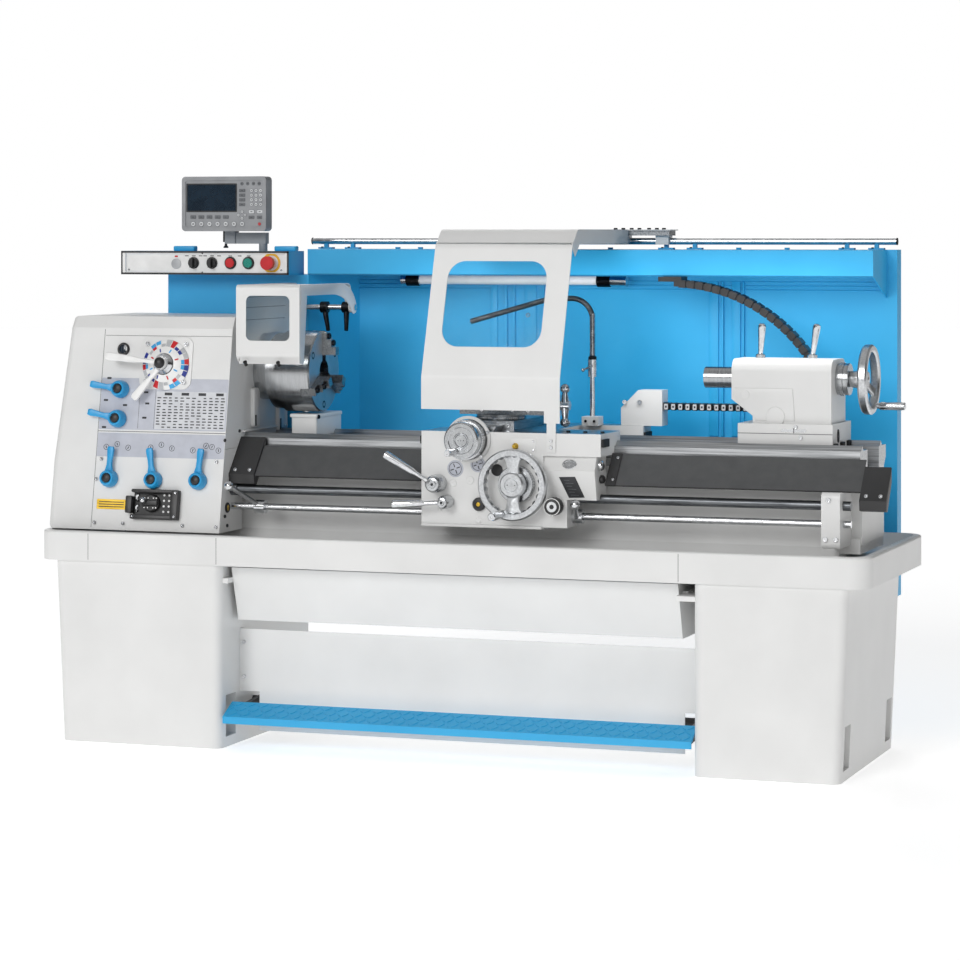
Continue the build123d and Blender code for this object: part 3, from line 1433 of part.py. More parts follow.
# Shield with its pane, slotted link to the saddle and slider on the rail
shield_right = shield_left + shield_width
shield_z = axis + shield_bend
slider_right = slider_left + slider_length
slider_low = rail_y - slider_depth / 2
lean_top = (-shield_front + shield_lean_back, shield_z + shield_lean_top)
shield_path = (
    (-shield_front, axis - shield_low),
    (-shield_front, shield_z),
    lean_top,
    (lean_top[0] + shield_crown, axis + shield_top),
    (slider_low, axis + shield_top),
)
with BuildPart() as shield:
    bent_sheet(shield_left, shield_right, shield_path, shield_round, sheet)
    for x0 in (shield_left, shield_right - sheet):
        bent_sheet(x0, x0 + sheet, shield_path[2:], shield_round, shield_flange)
    window = (shield_left + shield_window_left + shield_window_width / 2,
            axis + shield_window_low + shield_window_height / 2)
    rounded_slab(Plane.XZ.offset(-slider_low), window, (shield_window_width, shield_window_height),
            shield_window_round,
                 slider_low + shield_front + overrun, Mode.SUBTRACT)
    lean_run = math.hypot(shield_lean_back, shield_lean_top)
    inward = (0, shield_lean_top / lean_run, -shield_lean_back / lean_run)
    pane_up = (shield_window_low + shield_window_height / 2 - shield_bend) * lean_run / shield_lean_top
    pane_origin = (window[0], -shield_front + inward[1] * (sheet + pane_gap),
            shield_z + inward[2] * (sheet + pane_gap))
    rounded_slab(Plane(origin=pane_origin, x_dir=(-1, 0, 0), z_dir=inward), (0, pane_up),
                 (shield_window_width + 2 * pane_lap,
                         (shield_window_height + 2 * pane_lap) * lean_run / shield_lean_top),
                 shield_window_round, pane_thickness)
    block((shield_right - shield_tab_width, shield_right), (-shield_front, -shield_front + sheet),
          (axis - shield_low - shield_tab_drop, axis - shield_low))
    link_x = shield_left + link_left
    block((link_x, link_x + link_width), (-shield_front + sheet, -saddle_front),
            (saddle_top - link_rise + link_low, axis - shield_low + link_low))
    block((slider_left, slider_right), (slider_low, slider_low + slider_depth),
            (axis + shield_top - sheet, axis + shield_top))
    for x0 in (slider_left + slider_wall, slider_right - slider_wall - slider_block):
        block((x0, x0 + slider_block), (rail_y - rail_radius - slider_wall,
                rail_y + rail_radius + slider_wall),
              (rail_z - rail_radius, axis + shield_top - sheet))
        pin((x0 - overrun, rail_y, rail_z), (x0 + slider_block + overrun, rail_y, rail_z),
                rail_radius + slider_clear, Mode.SUBTRACT)
        block((x0 - overrun, x0 + slider_block + overrun),
                (rail_y - slider_open / 2, rail_y + slider_open / 2),
              (rail_z - 2 * rail_radius, rail_z), Mode.SUBTRACT)
shield.part.label = "shield"
export_step(shield.part, "parts/shield.step")

# Work lamp tube under the hood
lamp_z = hood_bottom - lamp_drop
lamp_right = lamp_left + lamp_length
with BuildPart() as work_lamp:
    pin((lamp_left, lamp_y, lamp_z), (lamp_right, lamp_y, lamp_z), lamp_radius)
    for x0, x1 in ((lamp_left, lamp_left + lamp_cap_length), (lamp_right - lamp_cap_length, lamp_right)):
        pin((x0, lamp_y, lamp_z), (x1, lamp_y, lamp_z), lamp_cap_radius)
        middle_x = (x0 + x1) / 2
        block((middle_x - lamp_bracket / 2, middle_x + lamp_bracket / 2), (lamp_y, panel_front),
                (lamp_z - lamp_radius / 2, lamp_z + lamp_radius / 2))
work_lamp.part.label = "work_lamp"
export_step(work_lamp.part, "parts/work_lamp.step")

# Coolant pipe: block, riser, cock and a bent spout
with BuildPart() as coolant_pipe_set:
    block((coolant_x - coolant_block / 2, coolant_x + coolant_block / 2),
            (coolant_y - coolant_block / 2, coolant_y + coolant_block / 2),
          (saddle_top, saddle_top + coolant_block_height))
    cock_z = saddle_top + coolant_block_height + coolant_riser
    pin((coolant_x, coolant_y, saddle_top + coolant_block_height), (coolant_x, coolant_y, cock_z),
            coolant_pipe)
    pin((coolant_x, coolant_y, cock_z), (coolant_x, coolant_y, cock_z + coolant_valve_height),
            coolant_valve_radius)
    bend_z = cock_z + coolant_valve_height
    with BuildLine() as spout:
        FilletPolyline(
            (coolant_x, coolant_y, bend_z),
            (coolant_x, coolant_y, bend_z + coolant_rise + coolant_bend + coolant_top / 2),
            (coolant_x - coolant_bend * 2, coolant_y,
                    bend_z + coolant_rise + coolant_bend + coolant_top / 2),
            (coolant_x - coolant_bend * 2 - coolant_reach, coolant_y,
                    bend_z + coolant_rise + coolant_bend + coolant_top / 2 - coolant_dip),
            radius=coolant_bend)
    with BuildSketch(Plane.XY.offset(bend_z)) as bore:
        with Locations((coolant_x, coolant_y)):
            Circle(coolant_pipe)
    sweep(bore.sketch, path=spout.line)
coolant_pipe_set.part.label = "coolant_pipe"
export_step(coolant_pipe_set.part, "parts/coolant_pipe.step")

# Cable chain: straight lower run and a fixed loop with the upper run sweeping up to the hood
loop_z = chain_z + chain_loop_radius
top_z = hood_bottom - chain_top_drop
chain_lead = top_z - loop_z - chain_loop_radius
out_angle = 2 * math.degrees(math.atan2(chain_loop_x - chain_top_x, chain_lead)) - 90
sweep_reach = (chain_loop_x - chain_top_x) / math.cos(math.radians(out_angle))
sweep_radius = sweep_reach + chain_loop_radius
sweep_z = loop_z - sweep_reach * math.sin(math.radians(out_angle))
with BuildPart() as cable_chain_lower:
    block((chain_end + cover_end_gap, chain_loop_x), (chain_y - chain_core_width / 2,
            chain_y + chain_core_width / 2),
          (chain_z - chain_core / 2, chain_z + chain_core / 2))
    links = int((chain_loop_x - chain_end - chain_link) / chain_pitch)
    for index in range(links):
        x0 = chain_end + chain_link + index * chain_pitch
        block((x0, x0 + chain_link), (chain_y - chain_width / 2, chain_y + chain_width / 2),
                (chain_z - chain_thick / 2, chain_z + chain_thick / 2))
cable_chain_lower.part.label = "cable_chain_lower"
export_step(cable_chain_lower.part, "parts/cable_chain_lower.step")

with BuildPart() as cable_chain:
    with BuildSketch(Plane.XZ.offset(-chain_y - chain_core_width / 2)) as core:
        with BuildLine() as edge:
            CenterArc((chain_loop_x, loop_z), chain_loop_radius, -90, 90 + out_angle)
            CenterArc((chain_top_x, sweep_z), sweep_radius, out_angle, 90 - out_angle)
        trace(line_width=chain_core)
    extrude(core.sketch, amount=chain_core_width)
    arc_length = math.radians(90 + out_angle) * chain_loop_radius
    run_length = math.radians(90 - out_angle) * sweep_radius
    links = int((arc_length + run_length - chain_link / 2) / chain_pitch)
    for index in range(links):
        way = (index + 1) * chain_pitch - chain_link / 2
        if way < arc_length:
            tilt = math.degrees(way / chain_loop_radius)
            spot = (chain_loop_x + chain_loop_radius * math.sin(math.radians(tilt)),
                    loop_z - chain_loop_radius * math.cos(math.radians(tilt)))
        else:
            tilt = 90 + out_angle + math.degrees((way - arc_length) / sweep_radius)
            spot = (chain_top_x + sweep_radius * math.sin(math.radians(tilt)),
                    sweep_z - sweep_radius * math.cos(math.radians(tilt)))
        with Locations(Location((spot[0], chain_y, spot[1]), (0, -tilt, 0))):
            Box(chain_link, chain_width, chain_thick)
    block((chain_top_x - chain_width, chain_top_x + chain_width / 2),
            (chain_y - chain_width / 2, hood_front + hood_lip),
          (hood_bottom - chain_anchor, hood_bottom))
cable_chain.part.label = "cable_chain"
export_step(cable_chain.part, "parts/cable_chain.step")
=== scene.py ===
import math
import bmesh
import bpy
from mathutils import Matrix, Vector


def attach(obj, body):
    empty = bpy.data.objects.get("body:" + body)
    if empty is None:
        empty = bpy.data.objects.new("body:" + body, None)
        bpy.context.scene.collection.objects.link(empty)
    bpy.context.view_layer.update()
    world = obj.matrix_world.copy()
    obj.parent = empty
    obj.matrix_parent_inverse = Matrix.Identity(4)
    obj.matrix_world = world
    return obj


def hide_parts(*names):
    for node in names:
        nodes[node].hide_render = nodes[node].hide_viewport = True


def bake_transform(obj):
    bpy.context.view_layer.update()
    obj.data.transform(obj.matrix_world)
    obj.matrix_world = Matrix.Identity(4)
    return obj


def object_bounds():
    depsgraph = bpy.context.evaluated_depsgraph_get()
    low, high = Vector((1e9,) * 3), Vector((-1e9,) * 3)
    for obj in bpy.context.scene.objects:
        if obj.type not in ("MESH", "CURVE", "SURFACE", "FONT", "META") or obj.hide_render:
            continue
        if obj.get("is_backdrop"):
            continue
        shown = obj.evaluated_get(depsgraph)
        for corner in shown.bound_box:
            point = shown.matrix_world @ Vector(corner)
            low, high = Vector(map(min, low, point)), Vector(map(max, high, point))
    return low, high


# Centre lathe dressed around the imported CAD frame. Lengths in the calls below are millimetres in the CAD
# frame (X along the bed, operator at -Y, floor at Z = 0), and each piece is scaled to metres once.

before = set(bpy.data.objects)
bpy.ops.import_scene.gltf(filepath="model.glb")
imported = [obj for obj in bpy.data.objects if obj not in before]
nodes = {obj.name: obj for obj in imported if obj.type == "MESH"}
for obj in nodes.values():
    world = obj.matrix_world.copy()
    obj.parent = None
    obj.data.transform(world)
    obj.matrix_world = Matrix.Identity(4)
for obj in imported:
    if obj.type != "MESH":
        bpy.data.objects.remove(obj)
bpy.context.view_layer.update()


# Materials
def linear(code):
    """sRGB hex colour as the linear colour that a shader takes."""
    parts = [int(code[i:i + 2], 16) / 255 for i in (1, 3, 5)]
    return [*(c / 12.92 if c <= 0.04045 else ((c + 0.055) / 1.055) ** 2.4 for c in parts), 1.0]


def node(tree, kind, inputs=(), **settings):
    """Adds a shader node with its settings, values and links."""
    made = tree.nodes.new("ShaderNode" + kind)
    for name, value in settings.items():
        setattr(made, name, value)
    for socket, value in dict(inputs).items():
        if isinstance(value, bpy.types.NodeSocket):
            tree.links.new(value, made.inputs[socket])
        else:
            made.inputs[socket].default_value = value
    return made


def surface(name, **sockets):
    """New material with constants on its shader; returns it with its tree, shader and Object coordinates."""
    material = bpy.data.materials.new(name)
    material.use_nodes = True
    tree = material.node_tree
    shader = tree.nodes["Principled BSDF"]
    for socket, value in sockets.items():
        shader.inputs[socket.replace("_", " ")].default_value = value
    return material, tree, shader, node(tree, "TexCoord").outputs["Object"]


def shaded(tree, pattern, low, high):
    """Colour that runs between two hex values with a pattern."""
    ramp = node(tree, "ValToRGB", {"Fac": pattern})
    ramp.color_ramp.elements[0].color = linear(low)
    ramp.color_ramp.elements[1].color = linear(high)
    ramp.color_ramp.elements[0].position = 0.3
    ramp.color_ramp.elements[1].position = 0.7
    return ramp.outputs["Color"]


def spread(tree, pattern, low, high):
    """Number that runs between two values with a pattern."""
    return node(tree, "MapRange", {"Value": pattern, "To Min": low, "To Max": high}).outputs["Result"]


def enamel(name, low, high, roughness, peel):
    """Sprayed two-pack enamel on sheet or cast iron: even colour with faint clouding about 200 mm across,
    a low gloss, and orange peel. Real peel is 1 to 2 mm wide; it is drawn 5 mm wide so that it shows."""
    material, tree, shader, place = surface(name, IOR=1.5, Coat_Weight=0.12, Coat_Roughness=0.2)
    clouds = node(tree, "TexNoise", {"Vector": place, "Scale": 5.0, "Detail": 3.0}).outputs["Fac"]
    grain = node(tree, "TexNoise", {"Vector": place, "Scale": 200.0, "Detail": 2.0}).outputs["Fac"]
    tree.links.new(shaded(tree, clouds, low, high), shader.inputs["Base Color"])
    tree.links.new(spread(tree, clouds, roughness - 0.05, roughness + 0.06), shader.inputs["Roughness"])
    bump = node(tree, "Bump", {"Height": grain, "Strength": peel, "Distance": 0.0006})
    tree.links.new(bump.outputs["Normal"], shader.inputs["Normal"])
    return material


def machined(name, low, high, roughness, stretch, lines, depth=0.12):
    """Bare machined metal: fine tool marks drawn out along one direction, which also carry the gloss.
    Real marks are under 0.3 mm apart; they are drawn a few millimetres apart so that they show."""
    material, tree, shader, place = surface(name, Metallic=1.0)
    lay = node(tree, "Mapping", {"Vector": place, "Scale": stretch}).outputs["Vector"]
    marks = node(tree, "TexNoise", {"Vector": lay, "Scale": lines, "Detail": 4.0}).outputs["Fac"]
    tree.links.new(shaded(tree, marks, low, high), shader.inputs["Base Color"])
    tree.links.new(spread(tree, marks, roughness - 0.07, roughness + 0.1), shader.inputs["Roughness"])
    bump = node(tree, "Bump", {"Height": marks, "Strength": depth, "Distance": 0.0003})
    tree.links.new(bump.outputs["Normal"], shader.inputs["Normal"])
    return material


def moulded(name, low, high, roughness, texture=0.1, **sockets):
    """Injection-moulded plastic: dense colour, fine spark-eroded grain drawn 2.5 mm wide so that it shows."""
    material, tree, shader, place = surface(name, IOR=1.54, **sockets)
    grain = node(tree, "TexNoise", {"Vector": place, "Scale": 400.0, "Detail": 2.0}).outputs["Fac"]
    cloud = node(tree, "TexNoise", {"Vector": place, "Scale": 30.0, "Detail": 2.0}).outputs["Fac"]
    tree.links.new(shaded(tree, cloud, low, high), shader.inputs["Base Color"])
    tree.links.new(spread(tree, grain, roughness - 0.06, roughness + 0.06), shader.inputs["Roughness"])
    bump = node(tree, "Bump", {"Height": grain, "Strength": texture, "Distance": 0.0004})
    tree.links.new(bump.outputs["Normal"], shader.inputs["Normal"])
    return material


def clear(name, tint, roughness, ior):
    """Clear sheet or glass: full transmission with faint wiping haze in its gloss."""
    material, tree, shader, place = surface(name, IOR=ior, Transmission_Weight=1.0)
    shader.inputs["Base Color"].default_value = linear(tint)
    haze = node(tree, "TexNoise", {"Vector": place, "Scale": 14.0, "Detail": 3.0}).outputs["Fac"]
    tree.links.new(spread(tree, haze, roughness, roughness + 0.05), shader.inputs["Roughness"])
    return material


# Sheet and castings in off-white and sky-blue machine enamel, semi-gloss
white_enamel = enamel("off_white_machine_enamel", "#dcdcdb", "#e3e3e2", 0.42, 0.10)
cast_enamel = enamel("off_white_casting_enamel", "#d8d8d7", "#e1e1e0", 0.44, 0.22)
blue_enamel = enamel("sky_blue_machine_enamel", "#27a4da", "#30abe0", 0.45, 0.10)
# Black semi-matt enamel on the sheet steel cover boxes and guard fittings
black_enamel = enamel("black_sheet_enamel", "#262627", "#303031", 0.50, 0.15)
# Ground and scraped iron on the ways and slides: marks run along the bed
ground_iron = machined("ground_cast_iron", "#8f9193", "#c9cbcd", 0.30, (0.6, 26.0, 26.0), 9.0)
# Milled steel on slides and brackets: broad cutter marks across
milled_steel = machined("milled_steel", "#7d8083", "#b0b2b4", 0.36, (26.0, 2.0, 26.0), 8.0)
# Turned steel on the chuck, quill and collars: faint rings about the spindle axis under a bright gloss
turned_steel = machined("turned_steel", "#a2a4a6", "#b8babc", 0.22, (40.0, 1.2, 1.2), 12.0, 0.04)
# Matt faced steel on the front of the chuck: rougher than the turned steel, and paler, which is painted
# highlight
faced_steel_with_painted_highlight = machined("faced_steel_with_painted_highlight", "#c6c7c8", "#d2d3d4", 0.55, (1.0, 1.0, 1.0), 40.0, 0.02)
# Polished steel of dials and hubs: even, with faint marks of no direction
dial_steel = machined("polished_dial_steel", "#b4b6b8", "#c8cacc", 0.24, (1.0, 1.0, 1.0), 90.0, 0.03)
# Polished and chromed steel on levers, wheels and the rail: bright, with faint handling marks
chromed = machined("chromed_steel", "#c4c6c8", "#e2e3e5", 0.14, (6.0, 6.0, 6.0), 10.0, 0.03)
# Cast aluminium wheels, turned bright on the rim and shot-blasted between
cast_aluminium = machined("turned_cast_aluminium", "#b9bbbd", "#d4d6d8", 0.30, (3.0, 3.0, 3.0), 60.0, 0.15)
# Chemically blackened steel on the tool post, jaws' bolts and screws: dark with a dull sheen
black_oxide = machined("blackened_steel", "#1f2022", "#333437", 0.38, (8.0, 8.0, 8.0), 20.0)
# Grey steel of the lead screw, darkened by oil in its thread
oiled_steel = machined("oiled_steel", "#4b4d50", "#7d8083", 0.34, (1.0, 20.0, 20.0), 10.0)
# Anodised plates of the charts and symbols: an even lilac grey with a fine satin grain
brushed_plate = moulded("brushed_anodised_aluminium", "#b2b5bf", "#bcbfc9", 0.45, 0.04)
# Brass of plates and oilers, lacquered
brass = machined("lacquered_brass", "#b8942f", "#d8b650", 0.32, (1.0, 20.0, 20.0), 20.0, 0.06)
# Moulded plastics and screen prints: knobs, readout, key caps, signal colours, dial sectors and lever grips
black_plastic = moulded("black_moulded_plastic", "#161617", "#202021", 0.42)
grey_plastic = moulded("readout_grey_abs", "#8b8d90", "#95979a", 0.5)
key_plastic = moulded("key_cap_grey", "#5a5d61", "#66696d", 0.5)
pale_key = moulded("key_cap_pale", "#bfc1c4", "#cfd1d3", 0.5)
white_plastic = moulded("white_moulded_plastic", "#e6e6e5", "#f0f0ef", 0.36)
blue_plastic = moulded("blue_lever_plastic", "#1890ca", "#259fd8", 0.34)
red_plastic = moulded("red_signal_plastic", "#c0141d", "#d21f28", 0.3)
green_plastic = moulded("green_signal_plastic", "#0a7f70", "#149483", 0.28)
yellow_plastic = moulded("yellow_signal_plastic", "#dfa800", "#f0bd12", 0.36)
navy_print = moulded("navy_printed_sector", "#1c2d7d", "#27399a", 0.4)
sky_print = moulded("sky_printed_sector", "#2b9bd8", "#3fabe3", 0.4)
grey_print = moulded("grey_printed_sector", "#a9abae", "#c4c6c8", 0.36)
chart_field = moulded("pale_etched_field", "#c6c8cd", "#d0d2d6", 0.5, 0.04)
dark_print = moulded("black_screen_print", "#1f2023", "#303135", 0.55, 0.04)
# Nitrile wipers and gaskets: matt black rubber
rubber = moulded("black_nitrile_rubber", "#171717", "#222223", 0.7, 0.25)
# Coated steel band of the roll-up way covers, matt grey
cover_band = moulded("grey_coated_band", "#474849", "#4d4e4f", 0.66, 0.06)
# Narrow shaded joints between panels
seam_shade = moulded("shaded_panel_joint", "#6a6a6a", "#757575", 0.8, 0.0)
seam_blue = moulded("shaded_blue_joint", "#17719f", "#1c7aaa", 0.8, 0.0)
# Clear polycarbonate panes; dark coated glass of the display and the oil sight
pane_clear = clear("polycarbonate_sheet", "#f4f8f8", 0.02, 1.45)
display_glass = moulded("dark_display_glass", "#152330", "#1e2e3c", 0.14, 0.0, Coat_Weight=0.6)
# Opal tube of the work lamp
opal_tube = moulded("opal_lamp_tube", "#e6eaec", "#f2f5f6", 0.3, 0.02)


# Shapes, in millimetres about the origin: X across, Y up and Z outward on the plane they are put on
def rounded(shape, edges, offset, segments):
    """Rounds edges of a shape."""
    bmesh.ops.bevel(shape, geom=edges, offset=offset, affect="EDGES", segments=segments, profile=0.5,
                    material=-1)


def around(turn, radius=1.0):
    """Point on a circle about the origin, at an angle in degrees."""
    return radius * math.cos(math.radians(turn)), radius * math.sin(math.radians(turn))


def block(low, high, corner=0.0, soft=0.0):
    """Plate or block between two corners, its upright edges rounded by corner and its top edge by soft."""
    shape = bmesh.new()
    bmesh.ops.create_cube(shape, size=1.0)
    bmesh.ops.scale(shape, vec=[b - a for a, b in zip(low, high)], verts=shape.verts)
    bmesh.ops.translate(shape, vec=[(a + b) / 2 for a, b in zip(low, high)], verts=shape.verts)
    if corner:
        upright = [e for e in shape.edges if abs(e.verts[0].co.z - e.verts[1].co.z) > 1e-6]
        rounded(shape, upright, corner, 5)
    if soft:
        rim = [e for e in shape.edges if min(v.co.z for v in e.verts) > high[2] - 1e-6]
        rounded(shape, rim, soft, 2)
    return shape


def rod(radius, low, high, end=None, soft=0.0, sides=32):
    """Round bar along Z, tapered to the radius end, with its upper edge softened."""
    shape = bmesh.new()
    tip = radius if end is None else end
    bmesh.ops.create_cone(shape, cap_ends=True, segments=sides, radius1=radius, radius2=tip, depth=high - low)
    bmesh.ops.translate(shape, vec=(0, 0, (low + high) / 2), verts=shape.verts)
    if soft:
        rim = [e for e in shape.edges if min(v.co.z for v in e.verts) > high - 1e-6]
        rounded(shape, rim, soft, 3)
    return shape


def turned(profile, sides=48, sweep=360.0, closed=False):
    """Profile of (radius, height) points spun about Z."""
    shape = bmesh.new()
    points = [shape.verts.new((r, 0, z)) for r, z in profile]
    pairs = list(zip(points, points[1:] + points[:1])) if closed else list(zip(points, points[1:]))
    edges = [shape.edges.new(pair) for pair in pairs]
    full = sweep == 360.0
    bmesh.ops.spin(shape, geom=points + edges, cent=(0, 0, 0), axis=(0, 0, 1), dvec=(0, 0, 0),
                   angle=math.radians(sweep), steps=sides, use_merge=full, use_duplicate=False)
    bmesh.ops.remove_doubles(shape, verts=shape.verts, dist=1e-4)
    bmesh.ops.recalc_face_normals(shape, faces=shape.faces)
    return shape


def ball(radius, centre=(0, 0, 0), squash=1.0):
    """Knob or dome about a point, flattened along Z by squash."""
    shape = bmesh.new()
    bmesh.ops.create_uvsphere(shape, u_segments=28, v_segments=16, radius=radius)
    bmesh.ops.scale(shape, vec=(1, 1, squash), verts=shape.verts)
    bmesh.ops.translate(shape, vec=centre, verts=shape.verts)
    return shape


def grip(length, sections, soft=2.0):
    """Lever arm along X from the origin through (share of length, width, thickness, height) sections."""
    shape = bmesh.new()
    rings = []
    for share, width, thick, height in sections:
        rings.append([shape.verts.new((share * length, y * width / 2, height + z * thick / 2))
                      for y, z in ((-1, -1), (1, -1), (1, 1), (-1, 1))])
    loops = []
    for ring in rings:
        loops.append([shape.edges.new((ring[i], ring[(i + 1) % 4])) for i in range(4)])
    for first, second in zip(loops, loops[1:]):
        bmesh.ops.bridge_loops(shape, edges=first + second)
    for ring in (rings[0], rings[-1]):
        shape.faces.new(ring)
    bmesh.ops.recalc_face_normals(shape, faces=shape.faces)
    cross = {e for loop in loops[1:-1] for e in loop}
    edges = [e for e in shape.edges if e not in cross]
    rounded(shape, edges, soft, 3)
    return shape


def screw_head(radius):
    """Socket head screw, its recess open."""
    return turned([(0, radius * 0.3), (radius * 0.5, radius * 0.3), (radius * 0.55, radius * 0.8),
                   (radius * 0.9, radius * 0.8), (radius, radius * 0.65), (radius, -0.5)], 12)


def outline(points, thick, soft=0.0):
    """Flat plate with a polygon outline, from Z = 0 outward, its top edge softened."""
    shape = bmesh.new()
    face = shape.faces.new([shape.verts.new((x, y, 0)) for x, y in points])
    made = bmesh.ops.extrude_face_region(shape, geom=[face])["geom"]
    raised = [g for g in made if isinstance(g, bmesh.types.BMVert)]
    bmesh.ops.translate(shape, vec=(0, 0, thick), verts=raised)
    bmesh.ops.recalc_face_normals(shape, faces=shape.faces)
    if soft:
        rim = [e for e in shape.edges if min(v.co.z for v in e.verts) > thick - 1e-6]
        rounded(shape, rim, soft, 2)
    return shape


def swept(start, bend, end, steps):
    """Points along a smooth curve from start to end that leans to bend."""
    shares = [step / steps for step in range(steps + 1)]
    return [tuple((1 - t) ** 2 * a + 2 * t * (1 - t) * b + t ** 2 * c for a, b, c in zip(start, bend, end))
            for t in shares]


# Planes: matrices from plane millimetres to the frame in metres. Then the stations that several pieces share:
# spindle axis, front of the apron, and the axes of the carriage and cross slide hand wheels
in_frame = Matrix.Scale(0.001, 4)
spindle_z = 1071
apron_y = -296
wheel_x, wheel_z = 219, 778
cross_x, cross_z = 74, 899.3


def facing(origin, across, up):
    """Plane at a point with its across and up directions; outward is their cross product."""
    x = Vector(across).normalized()
    y = Vector(up).normalized()
    turn = Matrix((x, y, x.cross(y))).transposed().to_4x4()
    return in_frame @ Matrix.Translation(origin) @ turn


def to_front(y):
    return facing((0, y, 0), (1, 0, 0), (0, 0, 1))


def to_right(x):
    return facing((x, 0, 0), (0, 1, 0), (0, 0, 1))


def to_left(x):
    return facing((x, 0, 0), (0, -1, 0), (0, 0, 1))


def to_top(z):
    return facing((0, 0, z), (1, 0, 0), (0, 1, 0))


def spot(plane, x, y, z=0.0, turn=0.0):
    """Place on a plane, turned about its normal in degrees."""
    return plane @ Matrix.Translation((x, y, z)) @ Matrix.Rotation(math.radians(turn), 4, "Z")


def between(start, end):
    """Place whose Z runs from one point to another, in millimetres of the frame."""
    turn = (Vector(end) - Vector(start)).to_track_quat("Z", "Y").to_matrix().to_4x4()
    return in_frame @ Matrix.Translation(start) @ turn


class Piece:
    """One visible piece: shapes gathered into a mesh that rides on a body."""

    def __init__(self, name, body, *finishes):
        self.name, self.body, self.finishes = name, body, finishes
        self.mesh = bmesh.new()

    def add(self, shape, place, finish=0):
        for part in shape.faces:
            part.material_index = finish(part) if callable(finish) else finish
        shape.transform(place)
        held = bpy.data.meshes.new("held")
        shape.to_mesh(held)
        shape.free()
        self.mesh.from_mesh(held)
        bpy.data.meshes.remove(held)

    def bar(self, start, end, radius, finish=0, tip=None, soft=0.0, sides=24):
        length = (Vector(end) - Vector(start)).length
        self.add(rod(radius, 0, length, tip, soft, sides), between(start, end), finish)

    def done(self, replaced=(), angle=32.0):
        data = bpy.data.meshes.new(self.name)
        self.mesh.to_mesh(data)
        self.mesh.free()
        for material in self.finishes:
            data.materials.append(material)
        data.polygons.foreach_set("use_smooth", [True] * len(data.polygons))
        data.set_sharp_from_angle(angle=math.radians(angle))
        made = bpy.data.objects.new(self.name, data)
        bpy.context.scene.collection.objects.link(made)
        if self.body:
            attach(made, self.body)
        if replaced:
            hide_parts(*replaced)
        return made


# Finishes of the CAD nodes: a main finish, then finishes for faces picked by their middle (mm) and normal
def dress(name, main, *others):
    shown = nodes[name]
    shown.data.materials.clear()
    for material in (main, *(material for material, _ in others)):
        shown.data.materials.append(material)
    if others:
        for face in shown.data.polygons:
            middle = face.center * 1000
            for index, (_, picked) in enumerate(others):
                if picked(middle, face.normal):
                    face.material_index = index + 1


for name in ("headstock_cabinet", "tailstock_cabinet", "chip_tray", "chip_drawer", "kick_panel"):
    dress(name, white_enamel)
for name in ("headstock", "end_cover", "apron"):
    dress(name, cast_enamel)
dress("foot_brake", blue_enamel, (black_enamel, lambda p, n: p.y > -290))
dress("bed", cast_enamel, (ground_iron, lambda p, n: p.z > 822 and p.y < 170))
dress("saddle", cast_enamel, (ground_iron, lambda p, n: p.z > 920.5 and p.z < 940 and n.z > 0.5 or
                              (27 < p.x < 177 and 920.5 < p.z < 937)))
dress("tailstock_body", cast_enamel, (turned_steel, lambda p, n: p.x > 1066.5 and p.z > 1000))
dress("splash_guard", blue_enamel)
dress("control_box", blue_enamel)
dress("guard_rail", chromed, (blue_enamel, lambda p, n: p.z < 1446))
dress("guard_shaft", black_enamel, (chromed, lambda p, n: (p.y - 140) ** 2 + (p.z - 1257) ** 2 < 100))
dress("work_lamp", opal_tube, (chromed, lambda p, n: p.x < -290 or p.x > 298))
for name in ("cable_chain", "cable_chain_lower"):
    dress(name, black_plastic)
dress("way_cover_boxes", black_enamel)
for name in ("spindle", "quill"):
    dress(name, turned_steel)
# The chuck's front face takes the faced steel: a rougher finish, with a paler colour as painted highlight
dress("chuck_body", turned_steel, (faced_steel_with_painted_highlight, lambda p, n: n.x > 0.9))
for name in ("jaw_1", "jaw_2", "jaw_3", "cross_slide", "top_slide"):
    dress(name, milled_steel)
dress("tool_post", black_oxide, (chromed, lambda p, n: p.z > 1089.6))
for name in ("tool_post_lever", "top_slide_handle", "cross_handwheel", "feed_lever", "half_nut_lever",
             "apron_start_lever", "quill_lock_lever", "tailstock_clamp_lever"):
    dress(name, chromed)
for name in ("carriage_handwheel", "tailstock_handwheel"):
    dress(name, cast_aluminium)
dress("leadscrew", oiled_steel)
dress("control_rod", chromed)
dress("coolant_pipe", chromed, (cast_enamel, lambda p, n: p.z < 948), (oiled_steel, lambda p, n: p.z > 1124))
dress("chuck_guard", white_enamel, (pane_clear, lambda p, n: -286.9 < p.y < -283.7 and 1155 < p.z < 1313))
dress("shield", white_enamel, (pane_clear, lambda p, n: -30 < p.x < 289 and
                               3.1 < (p.y + 304) * 0.9532 - (p.z - 1073) * 0.3024 < 6.3))
dress("readout", grey_plastic)
for finish, *names in ((red_plastic, "stop_button", "halt_button"), (green_plastic, "start_button"),
                       (black_plastic, "selector_1", "selector_2", "feed_selector"),
                       (white_plastic, "speed_lever_1", "speed_lever_2"),
                       (cover_band, "way_cover_left", "way_cover_right")):
    for name in names:
        dress(name, finish)
for number in range(1, 6):
    dress(f"gear_lever_{number}", blue_plastic)

